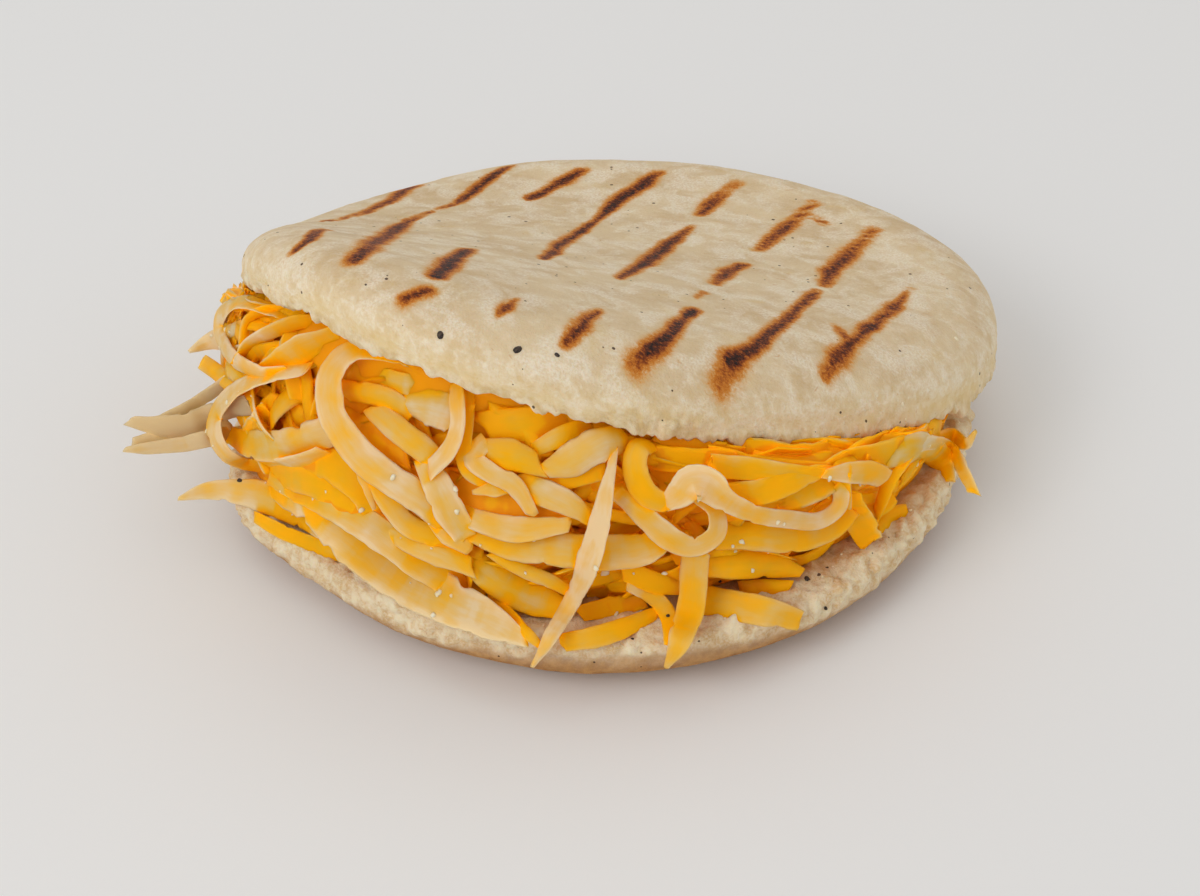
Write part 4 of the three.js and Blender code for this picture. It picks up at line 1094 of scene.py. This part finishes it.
def make_fill(material):
    """The shreds under and behind the laid-out ones, round the whole of the mouth."""
    rng = np.random.default_rng(FILL_SEED)
    strips = Strips(COARSE_SECTION, COARSE_STEP)
    shares = np.linspace(0, 1, 40)
    swing = (shares - 0.5) * 2
    for number in range(FILL_COUNT):
        middle = math.radians(rng.uniform(*FILL_AROUND))
        share, depth = rng.uniform(0.02, 0.98), rng.uniform(*FILL_DEPTH)
        half = rng.uniform(*FILL_HALF) / HEAP_RADIUS
        tilt, bow = rng.normal(0, FILL_TILT), rng.normal(0, FILL_BOW)
        angle = middle + swing * half * math.cos(tilt)
        gap = MOUTH_GAP * (GAP_AT_SIDES + (1 - GAP_AT_SIDES) * abs(math.sin(middle)))
        height = share + swing * half * HEAP_RADIUS / gap * math.sin(tilt) + bow * (1 - swing**2)
        dip = depth + FILL_DIP * np.sin(swing * rng.uniform(1, 3) + rng.uniform(0, 6))
        path = on_heap(angle, np.clip(height, FILL_KEEP_IN, 1 - FILL_KEEP_IN), dip)
        path += grain(path, FILL_WANDER_SIZE, 300 + number)[:, None] * FILL_WANDER
        width = rng.uniform(*FILL_WIDTH)
        narrowed = [rng.uniform(*part) for part in FILL_NARROWED]
        widths = [width * narrowed[0], width, width * narrowed[1], width * narrowed[2]]
        roll = rng.normal(0, FILL_ROLL)
        at = math.degrees(middle)
        # Painted shade deepens the right of the mouth; the far left is made paler.
        deeper = RIGHT_PAINTED_SHADE * smooth(-85, -50, at) - LEFT_PALER * (1 - smooth(-165, -130, at))
        strips.add(path, shares, unit(path - FACE_CENTRE), (roll, roll + rng.normal(0, FILL_TWIST)), widths,
                   rng.uniform(*FILL_THICKNESS), rng.uniform(*FILL_TONE) + deeper, 2000 + 12 * number)
    return strips.as_cheese("cheese_fill", material)


CORE_INSET = 3.6
CORE_BACK = 24
CORE_GAP = 0.75
CORE_COLUMNS, CORE_RINGS, CORE_ROWS = 260, 14, 22
CORE_WAIST = 0.94  # at its foot and top, as a share of its middle
CORE_LUMPS = [(1.1, 2.4, 500, 2)]


def make_core(material):
    """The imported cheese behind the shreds, which fills the mouth from the lower half up to the lid."""
    inner = np.linspace(0.1, 1, CORE_RINGS)
    profile = [(share, 0.0) for share in inner] + [(1.0, up) for up in np.linspace(0, 1, CORE_ROWS)[1:-1]]
    profile = np.array(profile + [(share, 1.0) for share in inner[::-1]])
    angle = np.linspace(0, 2 * math.pi, CORE_COLUMNS, endpoint=False)
    reach, level = profile[:, 0, None], profile[:, 1, None]
    bulge = CORE_WAIST + (1 - CORE_WAIST) * np.sin(level * math.pi)
    x = FACE_CENTRE[0] + reach * bulge * (FACE_SIZE[0] - CORE_INSET) * np.cos(angle)
    y = FACE_CENTRE[1] + reach * bulge * (FACE_SIZE[1] - CORE_INSET) * np.sin(angle)
    y = np.where(y > 0, y * CORE_BACK / FACE_SIZE[1], y)
    lumps = np.stack([x.ravel(), y.ravel(), (level * 20 + 0 * x).ravel()], axis=-1)
    shift = layered(lumps * [0.5, 0.5, 1.6], CORE_LUMPS).reshape(x.shape) * smooth(0.8, 1, reach)
    x, y = x + shift * np.cos(angle), y + shift * np.sin(angle) * (y < 0)
    low, high = CUT_HEIGHT + CORE_GAP, ceiling(x, y) - CORE_GAP
    z = low + (np.maximum(high, low + 0.2) - low) * level
    points = np.stack([x, y, z], axis=-1).reshape(-1, 3)
    count = len(points)
    foot, top = points[:CORE_COLUMNS].mean(axis=0), points[-CORE_COLUMNS:].mean(axis=0)
    top[2] = ceiling(top[0], top[1]) - CORE_GAP
    points = np.vstack([points, foot, top])
    faces = sheet_faces(len(profile), CORE_COLUMNS) + fan(count, 0, CORE_COLUMNS, backward=True)
    faces += fan(count + 1, count - CORE_COLUMNS, CORE_COLUMNS)
    # shut=1 and tone=1 give the core the deepest colour, painted shade for the cheese between the shreds.
    core = new_object("cheese_core", points, faces, strip=points[:, [0, 2, 1]], edge=0, tone=1, shut=1)
    return as_piece(core, "cheese", material, "cheese")


# Small things that lie on the cake

SEEDS = [(-24.2, 17.1, 0.44), (-12.5, 14.9, 0.48), (-6.5, 14.1, 0.3)]
LOOSE_CRUMBS = [
    (-36.2, -9.4, 0.55), (-21.7, -9.7, 0.5), (0.7, -18.9, 0.8), (-0.6, -18.2, 0.5), (-24.5, -22, 0.6),
    (9.8, -19, 0.5), (-21.9, -6.3, 0.5), (-31.4, -4.4, 0.45), (-25.3, -25.3, 0.4), (21.5, -14.2, 0.5),
    (20.1, -14.8, 0.4),
]
PEPPER = [
    (31.3, -19.8, 0.4), (18.2, -20.2, 0.28), (-54.6, -4.9, 0.35), (34.2, -24.3, 0.25), (4.9, -28.9, 0.22),
    (10.3, -25.4, 0.25),
]
CRUMB_COUNT = 120
CRUMB_SEED = 12
CRUMB_SIZE = (0.12, 0.34)
CRUMBS_AROUND = (-190, -10)  # degrees
CRUMB_AIM = np.array([0, 0, 18])
CRUMBS_ON_BASE = 0.6  # the rest fall on the cheese


class Bits(Pile):
    """Collects small rounded lumps into one mesh."""

    def add(self, middle, up, radius, long, flat, turn, rough, seed):
        """A lump whose long axis lies in the surface that up stands on."""
        up = unit(np.array(up))
        along = unit(np.cross(up, [math.cos(turn), math.sin(turn), 0.2]))
        side = np.cross(up, along)
        grid = np.meshgrid(np.linspace(0, 180, 7)[1:-1], np.arange(0, 360, 45), indexing="ij")
        tip, spin = np.radians(grid)
        shape = [np.cos(tip) * long, np.sin(tip) * np.cos(spin), np.sin(tip) * np.sin(spin) * flat]
        rings = np.stack(shape, axis=-1) @ np.array([along, side, up]) * radius
        lumpy = 1 + rough * grain(rings.reshape(-1, 3) / radius + seed, 0.9, seed).reshape(rings.shape[:2])
        self.pile_up(rings * lumpy[..., None] + np.array(middle))


def make_bits(around, seed_material, crumb_material):
    """Seeds on the lid and pepper specks in one piece; bread crumbs on the cheese and the lips in another."""
    dark, pale = Bits(), Bits()
    for bits, rows, shrink, long, flat, rough in (
        (dark, SEEDS, 1, 1.4, 0.65, 0.06),
        (dark, PEPPER, 1, 1.2, 0.6, 0.2),
        (pale, LOOSE_CRUMBS, 0.7, 1.25, 0.7, 0.55),
    ):
        for number, (across, up, radius) in enumerate(rows):
            middle, normal, *_ = around.ray_cast(EYE, sight(across, up))
            if middle is not None:
                bits.add(middle, normal, radius * shrink, long, flat, 2.2 * number, rough, number)
    rng = np.random.default_rng(CRUMB_SEED)
    for number in range(CRUMB_COUNT):
        angle = math.radians(rng.uniform(*CRUMBS_AROUND))
        radius = rng.uniform(*CRUMB_SIZE) * rng.uniform(0.6, 1)
        ahead = np.array([math.cos(angle), math.sin(angle), 0])
        if rng.uniform() < CRUMBS_ON_BASE:
            start = ahead * (float(base_rim(angle)) - rng.uniform(0.5, 6)) + [0, 0, CUT_HEIGHT + 6]
            ray = (0, 0, -1)
        else:
            start = ahead * 80 + [0, 0, rng.uniform(14, 34)]
            ray = unit(CRUMB_AIM - start)
        middle, normal, *_ = around.ray_cast(start, ray)
        if middle is not None:
            pale.add(middle, normal, radius, rng.uniform(1, 1.5), 0.75, rng.uniform(0, 6), 0.6, number)
    dark.build("seeds_and_pepper", "bread", seed_material)
    pale.build("loose_crumbs", "bread", crumb_material)


# Grill marks, laid out in the same view as the shreds: a stop is [across, up, half width, heat].

GRILL_MARKS = [
    [(-28.6, 39.6, 2.2, 0.85), (-31.5, 37.6, 1.6, 0.7), (-36.5, 35.6, 1.1, 0.85), (-42.8, 34.3, 0.6, 0.6)],
    [(-41.9, 33.2, 1.0, 0.7), (-43.8, 31.6, 1.4, 0.85), (-45.8, 30.2, 1.0, 0.7)],
    [(-14.8, 42.6, 1.1, 0.9), (-18.5, 39.6, 1.5, 0.9), (-22, 37.2, 1.3, 0.85), (-24.5, 36.2, 0.7, 0.75),
     (-29, 34.6, 1.0, 0.85), (-31.5, 33.2, 2.0, 0.85), (-35, 30.4, 2.2, 0.75), (-37.4, 28.4, 1.8, 0.85)],
    [(-3, 42.2, 1.3, 0.7), (-6.2, 40.2, 1.8, 1.0), (-9.8, 37.8, 1.4, 0.85)],
    [(-19.8, 30.2, 1.4, 0.95), (-22.6, 28, 2.1, 1.0), (-24.8, 26.2, 1.8, 1.0)],
    [(-26.2, 24, 1.6, 0.8), (-29.4, 22.6, 1.5, 0.85)],
    [(8.6, 41.6, 1.5, 0.85), (5.4, 39.4, 2.1, 1.0), (2.4, 37.2, 1.7, 1.0), (-1.2, 34.4, 1.2, 0.95),
     (-5.4, 31.2, 1.6, 0.9), (-8.8, 28.6, 1.1, 0.75)],
    [(-12.4, 22.6, 0.9, 0.5), (-14, 21.2, 1.3, 0.7), (-15.6, 19.8, 0.9, 0.5)],
    [(20.4, 40.4, 0.9, 0.4), (17.2, 37.3, 2.0, 0.95), (15.6, 35.4, 1.4, 0.7)],
    [(13.6, 33.6, 0.9, 0.6), (10.4, 31, 1.7, 0.9), (6.4, 28, 1.9, 0.95), (3, 25.8, 1.2, 0.7)],
    [(-0.2, 20.8, 1.2, 0.7), (-2.8, 18.4, 1.8, 0.8), (-5.2, 15.8, 1.2, 0.75)],
    [(32.4, 37, 1.1, 0.6), (29, 34, 1.8, 0.85), (24.4, 30, 1.2, 0.6)],
    [(31.8, 35.6, 0.6, 0.5), (33.6, 34.2, 0.9, 0.8)],
    [(21.4, 27.8, 1.3, 0.8), (19.4, 26.6, 1.7, 1.0), (17.2, 25, 1.3, 0.6)],
    [(15.8, 23.6, 0.9, 0.45), (14.6, 22.6, 0.8, 0.4)],
    [(14.4, 20.8, 1.3, 0.9), (10.8, 17.6, 1.7, 0.9), (7.6, 14.8, 2.1, 0.95), (5.4, 12.4, 2.2, 0.5)],
    [(41.4, 33.2, 1.4, 0.5), (38, 29.8, 2.0, 0.75), (35.4, 26.8, 2.1, 0.9), (33.6, 24.6, 1.2, 0.6)],
    [(33.4, 23.8, 1.0, 0.7), (28.6, 19.4, 1.5, 0.95), (23.6, 14.8, 1.6, 0.85), (20.2, 13, 2.4, 1.0)],
    [(20.4, 13.4, 2.6, 0.6), (17.8, 9.8, 2.4, 0.42)],
    [(47.2, 24.2, 0.9, 0.5), (43.4, 20.8, 1.7, 0.85), (39, 17, 1.6, 0.9), (35.8, 13.6, 1.9, 0.75),
     (34, 10.8, 1.3, 0.45)],
    [(35.6, 18.6, 1.2, 0.4), (37.6, 16.6, 1.6, 0.6)],
]

# On the underside, which lay on the grill first: the same bars, as [x, y, half width, heat].
UNDER_SPACING = 12.2
UNDER_TURN = math.radians(64)
UNDER_SEED = 8
UNDER_LENGTH, UNDER_GAP, UNDER_MARGIN = (10, 26), (3, 9), 12
UNDER_HEAT, UNDER_WIDTH = (0.55, 1), (1.1, 2.1)
UNDER_FADE = [0.6, 1, 1, 0.6]
UNDER_STOPS = np.array([0, 0.35, 0.7, 1])


def under_marks():
    rng = np.random.default_rng(UNDER_SEED)
    along = np.array([math.cos(UNDER_TURN), math.sin(UNDER_TURN)])
    across = np.array([-along[1], along[0]])
    marks = []
    for bar in range(-3, 4):
        offset = bar * UNDER_SPACING + rng.normal(0, 0.5)
        half = math.sqrt(max(RADIUS**2 - offset**2, 0)) - UNDER_MARGIN
        start = -half + rng.uniform(0, 6)
        while start < half - 8:
            length = rng.uniform(*UNDER_LENGTH)
            heats = rng.uniform(*UNDER_HEAT, 4) * UNDER_FADE
            widths = rng.uniform(*UNDER_WIDTH, 4)
            run = np.minimum(start + length * UNDER_STOPS, half)
            stops = across * offset + along * run[:, None]
            marks.append(np.column_stack([stops, widths, heats]))
            start += length + rng.uniform(*UNDER_GAP)
    return marks


UNDER_MARKS = under_marks()


# Screen colours, 0 to 255

CRUST, CRUST_TOASTED = (226, 200, 157), (212, 180, 133)
CRUST_PALE, CRUST_YELLOW = (240, 218, 181), (226, 192, 112)
SIDE, SIDE_PALE, FROST = (230, 202, 148), (246, 227, 189), (250, 239, 218)
# Clots: pale tops, partly the crumb's own whitish colour and partly painted highlight; dark between them,
# painted shade.
CLOT_PALE_HIGHLIGHT, CLOT_PAINTED_SHADE, BUTTERY = (255, 247, 230), (222, 188, 128), (234, 204, 142)
TAN, TAN_PALE = (158, 102, 46), (198, 144, 80)
LID_PITH, LID_PITH_PALE = (226, 196, 142), (248, 230, 196)
BASE_PITH, BASE_PITH_PALE = (226, 190, 136), (249, 231, 194)
PITH_GRAINS, CHEESE_STAIN = (250, 236, 212), (204, 146, 66)
SPECK, FLECK = (70, 42, 24), (208, 152, 88)
CHAR_RAMP = [
    (0.0, (224, 184, 126)), (0.18, (220, 154, 72)), (0.36, (206, 122, 38)), (0.54, (156, 76, 20)),
    (0.74, (96, 40, 12)), (0.96, (36, 16, 8)),
]
# Pale to deep; shut-in places are pushed towards the deep end as painted shade.
CHEESE_RAMP = [
    (0.0, (228, 204, 158)), (0.1, (228, 193, 124)), (0.2, (231, 187, 92)), (0.32, (238, 182, 52)),
    (0.45, (246, 180, 10)), (0.6, (254, 180, 0)), (0.85, (255, 182, 0)), (1.0, (250, 160, 0)),
]
# Greyer, darker cheese for strips whose tone is below 0: painted shade on the far-left shreds.
PAINTED_SHADE_CHEESE = (206, 182, 140)
HUSK, HUSK_PALE = (38, 30, 26), (84, 68, 54)
LOOSE_CRUMB, LOOSE_CRUMB_PALE = (250, 228, 184), (255, 244, 216)

SPECK_CELL = 1.3


def bread_material():
    r = Recipe("bread_crust")
    plan = r.attribute("plan", "Vector")
    crumb, rim_side, char, lid = (r.attribute(key) for key in ("crumb", "rim_side", "char", "lid"))
    height_up = r.node("ShaderNodeSeparateXYZ", {"Vector": plan}, "Z")
    lid_side = r.times(rim_side, lid)
    blotch = r.noise(plan, 9, 4, 0.6)
    mottle = r.noise(plan, 2.2, 5, 0.62)
    clots = r.noise(plan, 1.1, 3, 0.6, 0.4)
    blister = r.noise(plan, 0.6, 4, 0.8, 0.3)
    sugar = r.noise(plan, 0.34, 2, 0.6)

    crust = r.mix(r.step(blotch, 0.35, 0.68), CRUST, CRUST_TOASTED)
    crust = r.mix(r.step(mottle, 0.4, 0.75, 0.0, 0.32), crust, CRUST_PALE)
    yellow = r.step(r.noise(plan, 5.5, 2, 0.5, 0.6), 0.58, 0.74)
    crust = r.mix(r.times(yellow, r.maths("MULTIPLY_ADD", rim_side, 0.25, 0.25)), crust, CRUST_YELLOW)
    side_colour = r.mix(r.step(mottle, 0.3, 0.7), SIDE, SIDE_PALE)
    crust = r.mix(r.times(lid_side, 0.75), crust, side_colour)
    frost = r.step(r.noise(plan, 5, 4, 0.62, 0.5), 0.4, 0.64, 0.16, 0.8)
    crust = r.mix(r.times(r.step(sugar, 0.3, 0.7, 0.35, 1.0), frost), crust, FROST)
    # Clots pale where they stand up, partly their own colour and partly painted highlight, and darker in the
    # hollows between, painted shade.
    crust = r.mix(r.times(r.step(clots, 0.5, 0.7, 0.0, 0.6), lid_side), crust, CLOT_PALE_HIGHLIGHT)
    crust = r.mix(r.times(r.step(clots, 0.44, 0.3, 0.0, 0.4), lid_side), crust, CLOT_PAINTED_SHADE)
    lip_band = r.times(r.step(height_up, CUT_HEIGHT + 6, CUT_HEIGHT + 2), lid)
    buttery = r.step(r.noise(plan, 7, 3, 0.55), 0.36, 0.6, 0.1, 0.55)
    crust = r.mix(r.times(buttery, lip_band), crust, BUTTERY)

    tan = r.mix(r.step(mottle, 0.3, 0.7), TAN, TAN_PALE)
    foot = r.step(height_up, 9.0, 4.0, 0.45, 0.95)
    under = r.step(height_up, 2.5, 0.0, 1.0, r.step(blotch, 0.38, 0.62, 0.55, 1.0))
    crust = r.mix(r.times(r.maths("SUBTRACT", 1.0, lid), foot, under), crust, tan)

    lid_pith = r.mix(r.step(mottle, 0.35, 0.65), LID_PITH, LID_PITH_PALE)
    base_pith = r.mix(r.step(mottle, 0.36, 0.64), BASE_PITH, BASE_PITH_PALE)
    base_pith = r.mix(r.step(sugar, 0.4, 0.7, 0.0, 0.55), base_pith, PITH_GRAINS)
    flat = r.stretched(plan, 1, 1, 0)
    from_middle = r.node("ShaderNodeVectorMath", {0: flat}, "Value", operation="LENGTH")
    base_pith = r.mix(r.step(from_middle, 52.5, 46, 0.0, 0.85), base_pith, CHEESE_STAIN)
    colour = r.mix(crumb, crust, r.mix(lid, base_pith, lid_pith))

    chance = r.node("ShaderNodeSeparateColor", {"Color": r.cells(plan, SPECK_CELL, "Color")}, 0)
    speck = r.maths("LESS_THAN", r.cells(plan, SPECK_CELL, "Distance"), r.step(chance, 0.86, 1.0, 0.0, 0.2))
    colour = r.mix(r.times(speck, 0.9), colour, SPECK)
    colour = r.mix(r.step(r.noise(plan, 1.5, 2, 0.5, 1.0), 0.71, 0.75, 0.0, 0.45), colour, FLECK)
    uneven = r.times(r.maths("SUBTRACT", blister, 0.53), 2.4)
    roasted = r.maths("MULTIPLY_ADD", uneven, char, char)
    colour = r.mix(r.step(roasted, 0.0, 0.28), colour, r.ramp(roasted, CHAR_RAMP))

    crumbs = r.times(r.noise(plan, 1.0, 5, 0.7), r.maths("MULTIPLY_ADD", crumb, 1.1, 0.1))
    relief = r.plus(r.times(sugar, 0.42), r.times(mottle, 0.14), r.times(blister, char, 0.9), crumbs,
                    r.times(clots, lid_side, 0.5))
    roughness = r.maths("MULTIPLY_ADD", char, -0.15, 0.74)
    return r.finish(relief, (0.8, 0.4), Base_Color=colour, Roughness=roughness,
                    Subsurface_Weight=0.2, Subsurface_Radius=(1.0, 0.65, 0.35), Subsurface_Scale=1.2 * MM,
                    Specular_IOR_Level=0.22)


def cheese_material():
    r = Recipe("cheese_strands")
    strip = r.attribute("strip", "Vector")
    tone, edge, shut = (r.attribute(key) for key in ("tone", "edge", "shut"))
    lengthwise = r.stretched(strip, 0.2, 1.0, 1.0)
    cloud = r.noise(strip, 6, 2, 0.5)
    streak = r.noise(lengthwise, 1.3, 3, 0.6)
    # Painted shade: the more shut in a point is, the deeper orange it gets, standing in for shade and light
    # scattered through the cheese.
    deep = r.maths("MULTIPLY_ADD", tone, 0.5, r.step(shut, 0.04, 0.7, 0.03, 0.69))
    deep = r.plus(deep, r.maths("MULTIPLY_ADD", cloud, 0.8, -0.34))
    # Paler towards a strip's edges: partly the thin rims' own paler colour, partly painted highlight where
    # they catch light.
    deep = r.plus(deep, r.maths("MULTIPLY_ADD", streak, 0.36, -0.18), r.times(edge, -0.18))
    # Tones below 0 grey towards painted shade.
    colour = r.mix(r.step(tone, -0.1, -0.5), r.ramp(deep, CHEESE_RAMP), PAINTED_SHADE_CHEESE)
    lines, pits = r.noise(lengthwise, 0.45, 3, 0.6), r.noise(strip, 0.9, 3, 0.6)
    relief = r.plus(r.times(lines, 0.6), r.times(pits, 0.5))
    r.shader.subsurface_method = "BURLEY"
    return r.finish(relief, (0.25, 0.15), Base_Color=colour, Roughness=0.5,
                    Subsurface_Weight=0.8, Subsurface_Radius=(1.0, 0.8, 0.5), Subsurface_Scale=1.2 * MM,
                    Specular_IOR_Level=0.1)


def seed_material():
    r = Recipe("seed_husk")
    where = r.in_millimetres()
    colour = r.mix(r.step(r.noise(where, 0.3), 0.35, 0.7), HUSK, HUSK_PALE)
    return r.finish(r.noise(where, 0.12, 3, 0.6), (0.5, 0.05), Base_Color=colour, Roughness=0.5,
                    Specular_IOR_Level=0.4)


def crumb_material():
    r = Recipe("loose_crumb")
    where = r.in_millimetres()
    colour = r.mix(r.step(r.noise(where, 0.8), 0.35, 0.7), LOOSE_CRUMB, LOOSE_CRUMB_PALE)
    return r.finish(r.noise(where, 0.3, 4, 0.65), (0.7, 0.12), Base_Color=colour, Roughness=0.7,
                    Subsurface_Weight=0.25, Subsurface_Radius=(1.0, 0.7, 0.4), Subsurface_Scale=0.6 * MM)


def floor_material():
    return Recipe("studio_floor").finish(Base_Color=(0.9, 0.9, 0.9, 1), Roughness=0.9, Specular_IOR_Level=0.1)


# Camera, floor and light, in metres

FLOOR_HALF = 3
LAMP_AIM = Vector((0, 0, 0.02))
LAMPS = [  # name, place, power, size, colour
    ("key", (-0.75, -0.65, 0.9), 2.5, 0.6, (1, 1, 1)),
    ("overhead", (0.1, 0.3, 1.2), 0.9, 0.9, (1, 1, 1)),
    ("fill", (0.9, -0.5, 0.5), 0.15, 0.8, (1, 0.95, 0.88)),
    ("front", (-0.6, -0.8, 0.6), 1.5, 0.5, (1, 1, 1)),
]
STUDIO_COLOUR, STUDIO_STRENGTH = (1, 0.985, 0.96, 1), 0.6


def make_camera():
    data = bpy.data.cameras.new("camera")
    data.sensor_width = SENSOR_WIDTH
    data.lens = LENS
    data.clip_start, data.clip_end = 0.01, 20
    bpy.context.scene.camera = in_scene("camera", data, Vector(EYE) * MM, FORWARD)


def make_floor():
    size = FLOOR_HALF
    mesh = bpy.data.meshes.new("floor")
    corners = [(-size, -size, 0), (size, -size, 0), (size, size, 0), (-size, size, 0)]
    mesh.from_pydata(corners, [], [(0, 1, 2, 3)])
    mesh.materials.append(floor_material())
    in_scene("floor", mesh)


def make_light():
    """Square lamps that face the cake, and a pale studio all round."""
    for name, place, power, size, colour in LAMPS:
        data = bpy.data.lights.new(name, "AREA")
        data.energy, data.size, data.color = power, size, colour
        in_scene(name, data, place, LAMP_AIM - Vector(place))
    world = bpy.data.worlds.new("studio")
    world.use_nodes = True
    background = world.node_tree.nodes["Background"]
    background.inputs["Color"].default_value = STUDIO_COLOUR
    background.inputs["Strength"].default_value = STUDIO_STRENGTH
    bpy.context.scene.world = world
    bpy.context.scene.view_settings.view_transform = "Standard"


make_camera()
make_floor()
make_light()
body = make_bread(bread_material())
cheese = cheese_material()
core = make_core(cheese)
fill, shreds = make_fill(cheese), make_shreds(cheese)
around = tree_of(body, core, fill.piece, shreds.piece)
# How shut in each strip is, which the cheese material paints as shade.
fill.shade(around)
shreds.shade(around)
make_bits(around, seed_material(), crumb_material())
